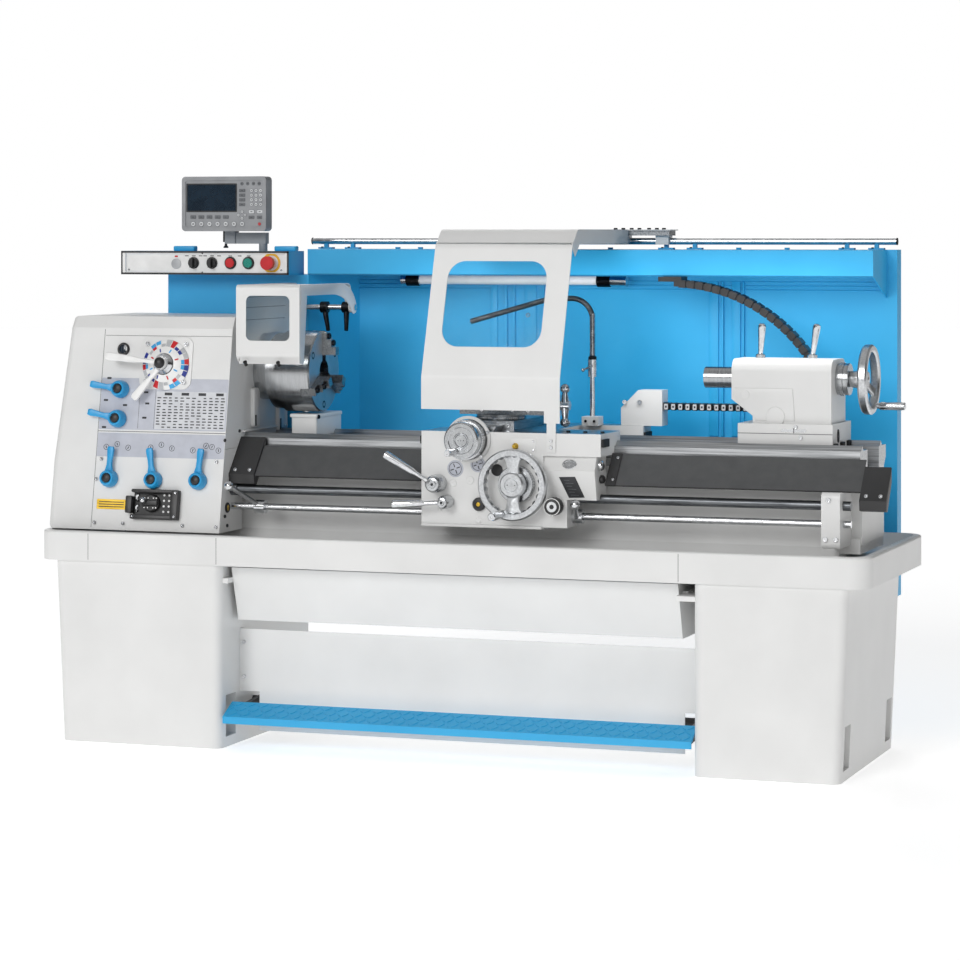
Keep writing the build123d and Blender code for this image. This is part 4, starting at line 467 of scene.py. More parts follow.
# Headstock face: charts, speed dial, selector frame, plates and screws, on the leaning plane
lean = facing((0, -330, 614), (1, 0, 0), (0, 98, 586))
dial_x, dial_y = -880, 486
charts = Piece("headstock_charts", "frame", brushed_plate, dark_print, chart_field)
charts.add(block((-1085, 294, -0.5), (-679, 446, 0.25), 3), lean)
charts.add(block((-1086, 214, -0.5), (-679, 284, 0.25), 3), lean)
charts.add(block((-906, 298, 0.1), (-683, 408, 0.3), 2), lean, 2)
for x in (-960, -909):
    charts.add(block((x, 298, 0.1), (x + 0.9, 440, 0.35)), lean, 1)
for column in range(12):
    for row in range(11):
        wide = 8 + (column * 7 + row * 4) % 6
        if (column * 5 + row * 3) % 13:
            cell = spot(lean, -902 + column * 18.4, 302 + row * 8.6)
            charts.add(block((0, 0, 0.2), (wide, 3.2, 0.4)), cell, 1)
for x in (-880, -826, -772, -716):
    charts.add(block((0, 0, 0.2), (24, 8, 0.4)), spot(lean, x, 397), 1)
for x, y in ((-940, 405), (-940, 330), (-1062, 445), (-1068, 300), (-1068, 380), (-1005, 366), (-934, 372)):
    charts.add(block((-7, -3, 0.2), (7, 3, 0.45), 2), spot(lean, x, y), 1)
for x, y in ((-1056, 242), (-1021, 251), (-985, 241), (-913, 243), (-879, 252), (-845, 242), (-778, 238),
             (-737, 252), (-718, 249), (-697, 239)):
    charts.add(turned([(8.6, 0.1), (8.6, 0.45), (7.2, 0.45), (7.2, 0.1)], 20, closed=True),
               spot(lean, x, y), 1)
    charts.add(block((-1.2, -4, 0.1), (1.2, 4, 0.45)), spot(lean, x, y, 0, x * 7 % 60 - 30), 1)
charts.done()

dial = Piece("speed_dial", "frame", white_enamel, white_plastic, red_plastic, sky_print, navy_print,
             grey_print, chromed)
dial.add(block((-964, 414, -0.5), (-798, 568, 4), 26, 1.5), lean)
for x, y in ((-943, 435), (-819, 435), (-943, 547), (-819, 547)):
    dial.add(screw_head(7), spot(lean, x, y, 4), 6)
sectors = (2, 5, 4, 1, 3, 5, 1, 4, 2, 1, 5, 3)


def sector_print(part):
    """Printed colour of a dial facet, by its angle and ring."""
    middle = part.calc_center_median()
    turn = int(math.degrees(math.atan2(middle.y, middle.x)) // 15) % 24
    if part.normal.z < 0.2 or middle.xy.length < 52:
        return 1
    return sectors[turn * 5 % 12] if middle.xy.length > 62 else sectors[(turn * 5 + 4) % 12]


dial.add(turned([(74, 3), (74, 7), (72, 8.5), (62, 12.3), (53, 15.7), (50, 17.5), (34, 23.5), (32, 23.5),
                 (32, 3)], 72, closed=True), spot(lean, dial_x, dial_y), sector_print)
cone = Matrix.Rotation(0.36, 4, "Y")
for turn in range(0, 360, 15):
    place = spot(lean, dial_x, dial_y, 0, turn)
    dial.add(block((-11, -0.9, -1), (10, 0.9, 0.8)), place @ Matrix.Translation((63, 0, 12.3)) @ cone)
    if turn % 45 == 0:
        place = spot(lean, dial_x, dial_y, 0, turn + 20) @ Matrix.Translation((42, 0, 20.6)) @ cone
        dial.add(block((-6, -2, -1), (6, 2, 0.5), 1.5), place, 2 + turn // 45 % 3)
dial.done()

long_lever = Piece("long_speed_lever", "speed_lever_1", white_plastic, black_plastic)
long_lever.add(turned([(0, 52), (17.6, 52), (17.6, 1), (0, 1)], 32), spot(lean, dial_x, dial_y))
long_lever.add(turned([(0, 64), (7, 63.4), (13, 60.5), (16.5, 55), (17, 50), (17, 49)], 32),
               spot(lean, dial_x, dial_y), 1)
long_lever.add(grip(174, ((0.05, 12, 9, 55), (0.3, 11, 9, 56), (0.46, 18, 11, 56), (0.93, 24, 11, 56),
                          (1.0, 18, 8, 56)), 3.5), spot(lean, dial_x, dial_y, 0, 174))
long_lever.done(["speed_lever_1"])
short_lever = Piece("short_speed_lever", "speed_lever_2", white_plastic, chromed)
short_lever.add(turned([(18.6, 38), (21, 38), (30, 26), (30, 1), (18.6, 1)], 40, closed=True),
                spot(lean, dial_x, dial_y), 1)
short_lever.add(grip(136, ((0.16, 15, 9, 31), (0.42, 13, 9, 32), (0.55, 19, 11, 32), (0.93, 24, 11, 32),
                           (1.0, 18, 8, 32)), 3.5), spot(lean, dial_x, dial_y, 0, 231))
short_lever.done(["speed_lever_2"])

gear_levers = ((-1021, 412, 172), (-1023, 325, 169), (-1036, 149, 87), (-894, 148, 99), (-752, 149, 85))
for number, (x, y, turn) in enumerate(gear_levers, 1):
    lever = Piece(f"gear_lever_{number}_grip", f"gear_lever_{number}", blue_plastic, black_plastic)
    lever.add(turned([(0, 26), (14.5, 26), (15.5, 30), (18, 31), (21, 29.5), (24.5, 20), (26, 12), (26, 0.6),
                      (0, 0.6)], 40), spot(lean, x, y))
    lever.add(turned([(0, 32.5), (8, 31.8), (12.5, 29.6), (14.6, 25)], 32), spot(lean, x, y), 1)
    lever.add(grip(93, ((0.2, 26, 12, 14), (0.42, 16, 11, 15), (0.6, 16, 10.5, 16), (0.9, 21, 10, 18),
                        (1.0, 17, 8, 19)), 2.5), spot(lean, x, y, 0, turn))
    lever.done([f"gear_lever_{number}"])

selector = Piece("selector_frame", "frame", black_plastic, chromed, white_plastic)
for low, high in (((-972, 50, -0.5), (-952, 100, 22)), ((-828, 33, -0.5), (-806, 120, 22)),
                  ((-955, 33, -0.5), (-825, 46, 22)), ((-955, 110, -0.5), (-825, 120, 22))):
    selector.add(block(low, high, 4, 2), lean)
selector.add(block((-954, 44, -0.5), (-826, 112, 0.25)), lean)
for x, y in ((-814, 42), (-814, 111), (-946, 40)):
    selector.add(screw_head(4), spot(lean, x, y, 22), 1)
for x in (-858, -842):
    for y in (57, 73, 89, 105):
        selector.add(rod(3.2, 0, 1.2, sides=16), spot(lean, x, y), 2)
for y in (66, 96):
    selector.add(turned([(12, 0), (13, 4), (9, 8), (5, 6), (5, 0)], 20, 150, closed=True),
                 spot(lean, -936, y, 0, 100), 1)
selector.done()
feed = Piece("feed_selector_knob", "feed_selector", black_plastic, chromed, white_plastic)
feed.add(turned([(0, 14), (22, 14), (25.5, 11), (25.5, 0.6), (0, 0.6)], 40), spot(lean, -895, 81))
feed.add(grip(50, ((0.0, 18, 9, 18), (0.5, 15, 9, 19), (1.0, 15, 8, 19)), 2.5), spot(lean, -920, 81))
feed.add(rod(4.5, 14, 26), spot(lean, -912, 87), 1)
for x in (-914, -903, -886, -877):
    for y in (67, 95):
        feed.add(rod(2.0, 13.5, 14.4, sides=12), spot(lean, x, y), 2)
feed.add(ball(8.5), spot(lean, -912, 87, 31), 1)
feed.done(["feed_selector"])

fittings = Piece("headstock_fittings", "frame", chromed, black_plastic, display_glass, brass, dark_print,
                 cast_enamel)
for x, y in ((-1076, 20), (-984, 20), (-794, 19), (-688, 18), (-1080, 147), (-1068, 206), (-700, 206)):
    fittings.add(screw_head(5.5), spot(lean, x, y))
fittings.add(turned([(19, -0.5), (19, 4), (16, 6), (13, 6), (12.5, 3)], 36), spot(lean, -1022, 531), 1)
fittings.add(rod(13, -0.5, 3.6, soft=0.8), spot(lean, -1022, 531), 2)
for x in (-6, 0, 6):
    fittings.add(block((x - 0.8, -9, 3.4), (x + 0.8, 9, 3.8)), spot(lean, -1022, 531), 4)
fittings.add(block((-1073, 60, -0.5), (-979, 89, 0.9), 2), lean, 3)
for row in range(3):
    fittings.add(block((-1066, 66 + row * 7, 0.5), (-986, 68.4 + row * 7, 1.05)), lean, 4)
side = to_right(-677.7)
fittings.add(turned([(15, -0.5), (15, 3), (12, 5), (9.5, 5), (9, 3)], 32), spot(side, -273, 684), 1)
fittings.add(rod(9.4, -0.5, 3.4, soft=0.6), spot(side, -273, 684), 3)
for y, z in ((-292, 880), (-186, 901), (-275, 632), (-292, 660)):
    fittings.add(screw_head(5), spot(side, y, z), 4)
for y, z in ((-78, 965), (110, 945)):
    fittings.add(block((y - 22, z - 58, -0.5), (y + 22, z + 58, 12), 9, 4), side, 5)
    # A dark patch low on each boss is painted shade standing for its slot
    fittings.add(block((y - 18, z - 54, 11), (y - 8, z - 22, 12.6)), side, 4)
fittings.add(block((-160, 896, -0.5), (165, 902, 8), 0, 3), side, 5)
fittings.done()

# Casting on the bed under the chuck: a flanged block with a bolt at its end; a foot under the bed's right end
rise = Piece("bed_head_block", "frame", cast_enamel, black_oxide)
casting = block((-570, -48, 880), (-490, 150, 938))
rounded(casting, casting.edges[:], 5, 3)
rise.add(casting, in_frame)
rise.add(block((-574, -52, 936), (-488, 152, 946), 4, 3), in_frame)
rise.add(screw_head(6), spot(to_right(-488), -40, 938), 1)
rise.add(block((1090, -150, 598), (1162, 150, 642), 0, 3), in_frame)
rise.done()

# Seams of the end cover, headstock and tray, drawn as narrow shaded joints
seams = Piece("panel_seams", "frame", seam_shade)
seams.add(block((-1087.4, 6, -0.5), (-1085.8, 590, 0.15)), lean)
seams.add(block((-1086, 287.6, -0.5), (-678, 289.6, 0.2)), lean)
seams.add(block((-1083, 571, -0.5), (-678, 572.4, 0.2)), lean)
tray_front = to_front(-382)
for x in (-1070, -664, 709):
    seams.add(block((x - 0.8, 530, -0.5), (x + 0.8, 606, 0.15)), tray_front)
seams.done()

# Control panel: black border, white fascia, printed signs, bezels and two tabs on top
panel = to_front(114)
fascia = Piece("control_fascia", "frame", dark_print, white_plastic, black_plastic, yellow_plastic, chromed,
               grey_print, red_plastic, blue_enamel)
fascia.add(block((-1186.5, 1360.5, -0.5), (-659.5, 1417.5, 0.9), 3), panel, 1)
rim_face = to_front(110)
for low, high in (((-1201, 1419, -0.5), (-645, 1425, 0.6)), ((-1201, 1353, -0.5), (-645, 1359, 0.6)),
                  ((-1201, 1355, -0.5), (-1196, 1423, 0.6)), ((-651, 1355, -0.5), (-645, 1423, 0.6))):
    fascia.add(block(low, high), rim_face)
for low, high in (((-1197, 1358, -0.5), (-1186, 1420, 0.4)), ((-660, 1358, -0.5), (-650, 1420, 0.4)),
                  ((-1188, 1417, -0.5), (-658, 1419.5, 0.4)), ((-1188, 1358.5, -0.5), (-658, 1361, 0.4))):
    fascia.add(block(low, high), rim_face, 1)
for y, turn in ((1420, 180), (1358, 0)):
    fascia.add(outline(((-6, -2), (6, -2), (0, 5)), 0.9), spot(rim_face, -929, y, 0, turn))
for x in (-778, -837):
    fascia.add(turned([(19, 0.5), (19, 4), (17, 6.5), (14.6, 6.5), (14.6, 0.5)], 36, closed=True),
               spot(panel, x, 1389), 2)
fascia.add(turned([(30, 0.5), (30, 2), (23, 2.4), (23, 0.5)], 48, closed=True), spot(panel, -703, 1389), 3)
for x in (-898, -959):
    fascia.add(turned([(18, 0.5), (18, 3), (15, 4.5), (14.7, 4.5), (14.7, 0.5)], 36, closed=True),
               spot(panel, x, 1389), 2)
fascia.add(turned([(16, 0.5), (16, 3), (13, 4), (12, 3.5), (0, 6)], 36), spot(panel, -1017, 1386), 5)
fascia.add(block((-1022, 1406, 0.5), (-1012, 1411, 1.2), 1), panel, 6)
for x in (-982, -959, -936, -921, -898, -875, -838, -807, -777):
    fascia.add(block((x - 6, 1409, 0.5), (x + 6, 1411.4, 1.15)), panel)
for x in (-1176, -670):
    fascia.add(screw_head(3), spot(panel, x, 1368, 0.8), 4)
tabs = to_front(176)
for x in (-1015, -680):
    tab = block((x - 35, 1424, -14), (x + 35, 1440, 14))
    rounded(tab, tab.edges[:], 4, 3)
    fascia.add(tab, tabs, 7)
fascia.done()

# Digital readout: display, keys and the pivot of its arm
keys = Piece("readout_keys", "readout", display_glass, black_plastic, key_plastic, pale_key, red_plastic,
             dark_print)
board = to_front(121)
keys.add(block((-987, 1543, -0.5), (-819, 1630, 0.5), 3), board, 1)
keys.add(block((-983, 1547, 0.3), (-823, 1626, 0.9), 1), board)


def key(x, z, wide, tall, finish):
    place = spot(board, x, z)
    if wide == tall:
        keys.add(rod(wide / 2 + 1, -0.5, 0.9, sides=20), place, 2)
        keys.add(rod(wide / 2, -0.5, 1.8, soft=0.5, sides=20), place, finish)
    else:
        keys.add(block((-wide / 2 - 1, -tall / 2 - 1, -0.5), (wide / 2 + 1, tall / 2 + 1, 0.9), 2), place, 2)
        keys.add(block((-wide / 2, -tall / 2, -0.5), (wide / 2, tall / 2, 1.8), 2, 0.5), place, finish)
    keys.add(block((-wide / 5, -tall / 9, 1.5), (wide / 5, tall / 9, 1.95)), place, 5)


for column in range(4):
    key(-803 + column * 19, 1629, 9, 9, 2)
    key(-802, 1608 - column * 14, 18, 8, 2)
    for x in (-771, -756, -741):
        key(x, 1608 - column * 14, 9.5, 9.5, 3)
for x, z in ((-802, 1544), (-814, 1534), (-792, 1534), (-802, 1524)):
    key(x, z, 8, 8, 3)
for x in (-771, -744):
    key(x, 1544, 17, 10, 3)
    key(x, 1527, 17, 8, 2)
for column in range(7):
    key(-964 + column * 27, 1507, 14, 14, 3)
    if column < 5:
        key(-964 + column * 27, 1528, 17, 9, 2)
key(-745, 1507, 9, 9, 4)
keys.bar((-880, 176, 1452), (-880, 176, 1490), 9, 1)
keys.bar((-880, 176, 1436), (-880, 176, 1453), 4, 1)
keys.add(turned([(0, 0), (7, 0), (8, 3), (5, 7), (0, 7)], 20), spot(to_top(1434), -880, 176), 1)
keys.done()

# Splash guard: folded stiffeners, the seam under the hood and bolts
back = to_front(374)
folds = Piece("splash_folds", "frame", blue_enamel, chromed, seam_blue)
for left, right, deep in ((-93, -70, 5), (-48, -38, 9), (-22, -13, 9), (16, 54, 5), (72, 79, 8),
                          (590, 620, 5), (629, 636, 9), (660, 687, 5), (693, 699, 9)):
    folds.add(block((left, 880, -0.5), (right, 1336, deep), 0, 2.5), back)
for z in (1310, 1322, 1334):
    folds.add(block((-520, z, -0.5), (1120, z + 3, 4), 0, 1.5), back)
folds.add(screw_head(7), spot(back, 27, 1232), 1)
hood = to_front(186)
folds.add(block((-614, 1353.5, -0.5), (1123, 1357, 0.2)), hood, 2)
for x in (-366, -293, 308, 700, 845):
    folds.bar((x, 300, 1430), (x, 300, 1437), 8, 0, sides=6)
folds.done()

# Rail brackets with screws, collars at the ends of the rail and clamps of the lamp
rail = Piece("rail_brackets", "frame", blue_enamel, black_oxide, chromed)
for x in (-640, -552, 452, 540, 1000, 1088):
    rail.add(block((x - 16, 386, 1430), (x + 16, 414, 1434), 3), in_frame)
    rail.bar((x - 10, 390, 1433), (x - 10, 390, 1438), 4, 1, sides=6)
for x in (-687, 1147):
    rail.bar((x, 400, 1455), (x + 3, 400, 1455), 10.6, 1)
for left in (-336, 268):
    rail.add(turned([(18.6, 0), (20, 1.5), (20, 40.5), (18.6, 42)], 32),
             between((left, 300, 1339), (left + 42, 300, 1339)), 1)
for x in (-352, 352):
    rail.add(turned([(18.2, 0), (19, 1), (19, 7), (18.2, 8)], 32),
             between((x, 300, 1339), (x + 8, 300, 1339)), 2)
rail.done()

# Chuck guard: latch knobs, curved right side, left wall with its folds drawn as dark strips of painted shade,
# and round window corners; then the stops that hang on its shaft
guard = Piece("guard_fittings", "chuck_guard", black_plastic, white_enamel, seam_shade)
for x in (-614, -511):
    guard.add(turned([(0, 0), (6, 0), (6, 3), (3, 4), (3, 9), (5, 10), (5, 14), (0, 15)], 20),
              between((x, -290, 1108), (x + 10, -300, 1096)))
arm = outline([(-290, 1104), (-256, 1104), (-232, 1299), *swept((-40, 1299), (75, 1299), (122, 1243), 10),
               (134, 1238), (150, 1241), *swept((159, 1256), (128, 1330.5), (20, 1330.5), 12),
               (-282, 1330.5)], 3, 1)
guard.add(arm, to_right(-446.5), 1)
wall = to_right(-638)
guard.add(outline([(-286, 1110), (-235, 1110), (-110, 1185), (110, 1185), (118, 1240), (60, 1326),
                   (-282, 1326)], 2), wall, 1)
# Dark strips along the wall's folds: painted shade
for z in (1226, 1262, 1292):
    guard.add(block((-280, z, 1.5), (60, z + 1.4, 2.3)), wall, 2)
window_round = 17
for x, z, right, up in ((-610.7, 1169, -1, -1), (-474.7, 1169, 1, -1),
                        (-610.7, 1299, -1, 1), (-474.7, 1299, 1, 1)):
    arc = [(x - right * window_round * (1 - math.sin(math.radians(turn))),
            z - up * window_round * (1 - math.cos(math.radians(turn)))) for turn in range(0, 91, 10)]
    guard.add(outline([(x, z), *arc], 3), to_front(-287.6), 1)
guard.done()
cranks = Piece("guard_cranks", "frame", black_oxide)
for x, foot in ((-540, -520), (-470, -462)):
    cranks.bar((x, 140, 1250), (foot, 118, 1188), 9, tip=6)
    cranks.add(turned([(10, 0), (17, 0), (17, 22), (10, 22)], 32, closed=True),
               between((x - 11, 140, 1257), (x + 11, 140, 1257)))
cranks.done()

# Chuck: key sockets, cam studs and face screws; bolts on the jaws
chuck = Piece("chuck_fittings", "spindle", turned_steel, black_oxide, chromed)
for turn in (30, 150, 270):
    way = Vector((0, *around(turn)))
    for x, out, wide in ((-540, 117, 13), (-611, 94, 10)):
        start = Vector((x, 0, spindle_z)) + way * out
        place = between(start, start + way * 5)
        chuck.add(turned([(wide * 0.55, 0), (wide * 0.6, 3.8), (wide, 3.8), (wide, 0)], 28, closed=True),
                  place, 2)
        # The black square in each ring is painted shade standing for the square socket hole
        chuck.add(rod(wide * 0.58, 0, 3.2, sides=4), place, 1)
    face_spot = Vector((-485.7, 0, spindle_z)) + way * 98
    chuck.add(turned([(0, -4), (6, -4), (6.5, 0.3), (11, 0.3), (11, -1)], 24),
              between(face_spot, face_spot + Vector((1, 0, 0))), 1)
chuck.add(turned([(119.2, 0), (120.4, 1), (120.4, 5), (119.2, 6)], 64),
          between((-578, 0, spindle_z), (-560, 0, spindle_z)))
chuck.done()
for number, turn in ((1, 90), (2, 210), (3, 330)):
    way = Vector((0, *around(turn)))
    jaw = Piece(f"jaw_bolts_{number}", f"jaw_{number}", black_oxide)
    for out, x in ((104, -472), (84, -458)):
        start = Vector((x, 0, spindle_z)) + way * out
        jaw.add(turned([(0, 2), (4, 2), (4.5, 7), (8, 7), (8.6, 6), (8.6, -1)], 16),
                between(start, start + Vector((7, 0, 0))))
    jaw.done()

# Apron: collar flange, symbol discs, plugs, oil cap, dial behind the wheel, oiler plate and a lower rib
apron = to_front(apron_y)
front = Piece("apron_fittings", "carriage", cast_enamel, dial_steel, black_plastic, brass, dark_print,
              chromed, white_enamel, brushed_plate)
front.add(turned([(57.5, -0.5), (66, -0.5), (66, 5), (64, 7), (57.5, 7)], 48, closed=True),
          spot(apron, cross_x, cross_z))
for turn in (-50, 20, 200, 250):
    x, z = around(turn, 61.5)
    front.add(screw_head(5), spot(apron, cross_x + x, cross_z + z, 6), 5)
for x, z, wide in ((34, 816, 24), (101, 829, 22)):
    front.add(turned([(0, 1.4), (wide - 2, 1.4), (wide, 0.4), (wide, -0.5)], 40), spot(apron, x, z), 7)
    front.add(turned([(wide - 5, 1.2), (wide - 5, 1.7), (wide - 6.5, 1.7), (wide - 6.5, 1.2)], 40,
                     closed=True), spot(apron, x, z), 4)
    for turn in (20, 110, 200, 290):
        front.add(block((4, -1.4, 1.2), (wide - 9, 1.4, 1.75)), spot(apron, x, z, 0, turn), 4)
for x, z, wide in ((27, 775, 11), (78, 784, 12), (-13, 698, 6), (103, 672, 9), (150, 700, 6)):
    front.add(turned([(0, 1.6), (2.5, 1.6), (3, 2.4), (wide - 2, 2.4), (wide, 1), (wide, -0.5)], 28),
              spot(apron, x, z), 6)
front.add(turned([(0, 12), (7, 12), (8, 14), (16, 13), (19, 8), (19, -0.5)], 36), spot(apron, 106, 718), 2)
front.add(rod(6, 11, 13, soft=0.6), spot(apron, 106, 718), 3)
front.add(rod(17, -0.5, 2.5, soft=1), spot(apron, 158, 815), 2)
front.add(turned([(36, -0.5), (52, -0.5), (52, 18), (50, 20), (36, 20)], 60, closed=True),
          spot(apron, wheel_x, wheel_z), 1)
for mark in range(40):
    tick = block((52, -0.5, 6), (52.4, 0.5, 17 if mark % 5 == 0 else 13))
    front.add(tick, spot(apron, wheel_x, wheel_z, 0, mark * 9), 4)
front.add(block((197, 866, -0.5), (273, 905, 1.5), 4, 0.6), apron, 6)
for x, z in ((204, 873), (266, 873), (266, 898)):
    front.add(screw_head(3), spot(apron, x, z, 1.2), 5)
front.add(turned([(0, 16), (5, 16), (7, 12), (7, 4), (9, 3), (9, -0.5)], 24), spot(apron, 213, 883), 3)
front.add(block((-68, 652, -0.5), (290, 660, 3), 0, 2), apron)
front.done()

# Feed box on the apron: ratio plate, oval sight, side knobs and the face of the black knob
boxed = Piece("feed_box_fittings", "carriage", dark_print, chromed, black_plastic, dial_steel, key_plastic)
slope = facing((0, -282, 736), (1, 0, 0), (0, -20, 82))
boxed.add(outline(((366, 6), (412, 8), (388, 68), (341, 66)), 1.2, 0.4), slope)
for row in range(6):
    line = block((0, 0, 0.8), (24 - row % 2 * 8, 1.2, 1.35))
    boxed.add(line, spot(slope, 372 - row * 3.4, 14 + row * 8.6), 4)
crown = facing((0, -302, 818), (1, 0, 0), (0, 20, 40))
oval = turned([(0, 1.2), (9, 1.2), (10, 2.4), (13, 2.4), (14, 1), (14, -0.5)], 40)
bmesh.ops.scale(oval, vec=(1.5, 1, 1), verts=oval.verts)
boxed.add(oval, spot(crown, 370, 20), 3)
flank = to_right(446)
for y, z, wide in ((-262, 832, 15), (-252, 793, 12)):
    boxed.add(turned([(0, 15), (wide * 0.5, 15), (wide * 0.8, 13), (wide, 9), (wide, 3), (wide * 0.6, 2),
                      (wide * 0.6, -0.5)], 28), spot(flank, y, z), 2 if wide < 14 else 1)
boxed.add(turned([(0, 47.5), (5, 47.5), (6, 46.4), (15, 46.4), (17, 47.6), (21, 47), (24.6, 43), (24.6, 14),
                  (22, 11), (22, -0.5)], 40), spot(apron, 334, 720), 2)
boxed.add(turned([(6.5, 46), (6.5, 47.2), (14.5, 47.2), (14.5, 46)], 32, closed=True),
          spot(apron, 334, 720), 1)
for turn in range(0, 360, 20):
    boxed.add(block((24, -1.6, 16), (25.6, 1.6, 41)), spot(apron, 334, 720, 0, turn), 2)
boxed.done()

# Saddle: way wipers, end plates of the covers, bracket and casting screws, and a slot drawn as a dark patch
# of painted shade
saddle = Piece("saddle_fittings", "carriage", rubber, black_enamel, chromed, dark_print)
for left in (-74, 462):
    saddle.add(block((left, -291, 884), (left + 6, -231, 906)), in_frame)
    saddle.add(block((left, 126, 884), (left + 6, 192, 902)), in_frame)
band = facing((0, -256, 775), (1, 0, 0), (0, 74, 84))
for left, right in ((-80, -68), (462, 492)):
    saddle.add(block((left, 0, 2.5), (right, 112, 6), 2, 0.8), band, 1)
    for up in (18, 94):
        saddle.add(screw_head(4.5), spot(band, right - 9 if left > 0 else left + 6, up, 5.5), 2)
for x, z in ((404, 989), (449, 989)):
    saddle.add(screw_head(7), spot(to_front(130), x, z), 2)
for z in (882, 900):
    saddle.add(screw_head(5), spot(to_front(-301), 319, z), 2)
# The slot is a dark print patch: painted shade, not a cut
saddle.add(block((309, 962, -0.5), (329, 974, 0.4), 5), to_front(-301), 3)
for x in (350, 400, 450):
    saddle.add(screw_head(6), spot(to_top(921), x, -240), 3)
saddle.done()

# Carriage hand wheel: scalloped rim, two broad spokes, ringed hub and a chromed handle
wheel_face = to_front(-326)
wheel = Piece("carriage_wheel_form", "carriage_handwheel", cast_aluminium, chromed, dark_print)
rim = turned([(100, 5), (100, 21), (96, 26), (82, 26), (77, 21), (77, 5), (82, 0), (96, 0)], 96, closed=True)
dents = [v for v in rim.verts if v.co.xy.length < 78 and
         int(math.degrees(math.atan2(v.co.y, v.co.x)) + 361) % 15 < 7]
bmesh.ops.scale(rim, vec=(1.06, 1.06, 1), verts=dents)
wheel.add(rim, spot(wheel_face, wheel_x, wheel_z))
for turn in (90, 270):
    wheel.add(outline(((20, -19), (45, -16), (66, -20), (82, -32), (82, 32), (66, 20), (45, 16), (20, 19)),
                      11, 3), spot(wheel_face, wheel_x, wheel_z, 5, turn))
wheel.add(turned([(0, 27), (3, 27), (4, 28), (17, 28), (18.5, 26.6), (20, 28), (31, 28), (35, 24), (36, 2),
                  (30, -2), (30, -29), (0, -29)], 48), spot(wheel_face, wheel_x, wheel_z))
for turn in (0, 180):
    wheel.add(rod(1.8, 27, 28.4, sides=10), spot(wheel_face, wheel_x + around(turn, 11)[0], wheel_z), 2)
x, z = around(250, 88)
wheel_grip = spot(wheel_face, wheel_x + x, wheel_z + z)
wheel.add(turned([(0, 108), (3, 108), (3.4, 109.6), (9, 109.6), (11, 107), (12, 96), (11.4, 60), (12, 40),
                  (10, 34), (8, 33), (8, 12)], 32), wheel_grip, 1)
wheel.done(["carriage_handwheel"])

# Cross slide hand wheel: ringed face, graduated collar and a handle
cross = Piece("cross_wheel_form", "cross_handwheel", dial_steel, chromed, dark_print)
cross.add(turned([(0, 66.5), (16, 66.5), (17.5, 65), (19, 67.6), (21, 67.6), (22.5, 65.5), (36, 65.5),
                  (38, 67.6), (47, 67.6), (51, 64.5), (52, 60), (52, 44), (49, 43), (49, 41), (56, 40.5),
                  (56, 4), (54, 0.6), (0, 0.6)], 72), spot(apron, cross_x, cross_z))
for mark in range(50):
    tick = block((55.8, -0.45, 30 if mark % 5 else 24), (56.3, 0.45, 40))
    cross.add(tick, spot(apron, cross_x, cross_z, 0, mark * 7.2), 2)
for turn in (0, 180, 90):
    cross.add(rod(1.5, 66, 66.9, sides=10), spot(apron, cross_x + around(turn, 8)[0], cross_z), 2)
x, z = around(60, 37)
cross_grip = spot(apron, cross_x - x, cross_z - z)
cross.add(turned([(0, 129), (2.5, 129), (3, 130), (8, 130), (9.4, 127), (10, 112), (9, 86), (9.6, 76),
                  (7, 72), (6.5, 60)], 28), cross_grip, 1)
cross.done(["cross_handwheel"])

# Apron levers: domed hubs with ringed caps, slender necks and tapered grips
for name, body, x, z, wide, reach, turn in (("feed_lever_form", "feed_lever", -16, 774, 26, 158, 150),
                                            ("half_nut_lever_form", "half_nut_lever", 12, 723, 19, 142, 183)):
    lever = Piece(name, body, dial_steel, chromed, dark_print)
    lever.add(turned([(0, 50), (3.5, 50), (4, 57.5), (wide * 0.4, 57.5), (wide * 0.44, 56), (wide * 0.7, 55),
                      (wide * 0.9, 48), (wide, 36), (wide, 3), (wide - 2, 0.6), (0, 0.6)], 44),
              spot(apron, x, z))
    lever.add(rod(3.4, 50, 51, sides=16), spot(apron, x, z), 2)
    across, up = around(turn)
    way = Vector((across, 0, up))
    root = Vector((x, apron_y - 46, z)) + way * wide * 0.6
    tip = Vector((x, apron_y - 57, z)) + way * (reach + 6)
    run = (tip - root).length
    lever.add(turned([(6.5, 0), (6, run * 0.28), (7.2, run * 0.33), (9, run * 0.36), (12.4, run * 0.93),
                      (11.6, run - 2), (9, run), (0, run)], 28), between(root, tip), 1)
    lever.done([body])

# Tool post clamp screws with the screws and joint of the top slide; graduated swivel ring and its screws
post = Piece("tool_post_fittings", "top_slide", chromed, black_oxide)
for x, y in ((67, -130), (102, -130), (137, -130), (67, -60), (137, -60), (67, -95)):
    post.bar((x, y, 1087), (x, y, 1112), 6.5, 1, sides=20)
    post.bar((x, y, 1112), (x, y, 1122), 4.6, 1, sides=4)
for x in (60, 152, 200):
    post.add(screw_head(6), spot(to_front(-143), x, 975))
post.add(block((-8, 984, -0.5), (252, 988, 0.3)), to_front(-143), 1)
post.done()
swivel = Piece("swivel_fittings", "cross_slide", turned_steel, chromed, dark_print)
swivel.add(turned([(70.4, 0.5), (72, 1.5), (72, 7), (70.4, 8)], 64), spot(to_top(947.3), 102, -95))
for mark in range(36):
    swivel.add(block((71.8, -0.5, 1.5), (72.4, 0.5, 6.5 if mark % 3 == 0 else 4.5)),
               spot(to_top(947.3), 102, -95, 0, mark * 5 - 180), 2)
for x in (42, 162):
    swivel.add(screw_head(6), spot(to_front(-205), x, 934), 1)
swivel.done()

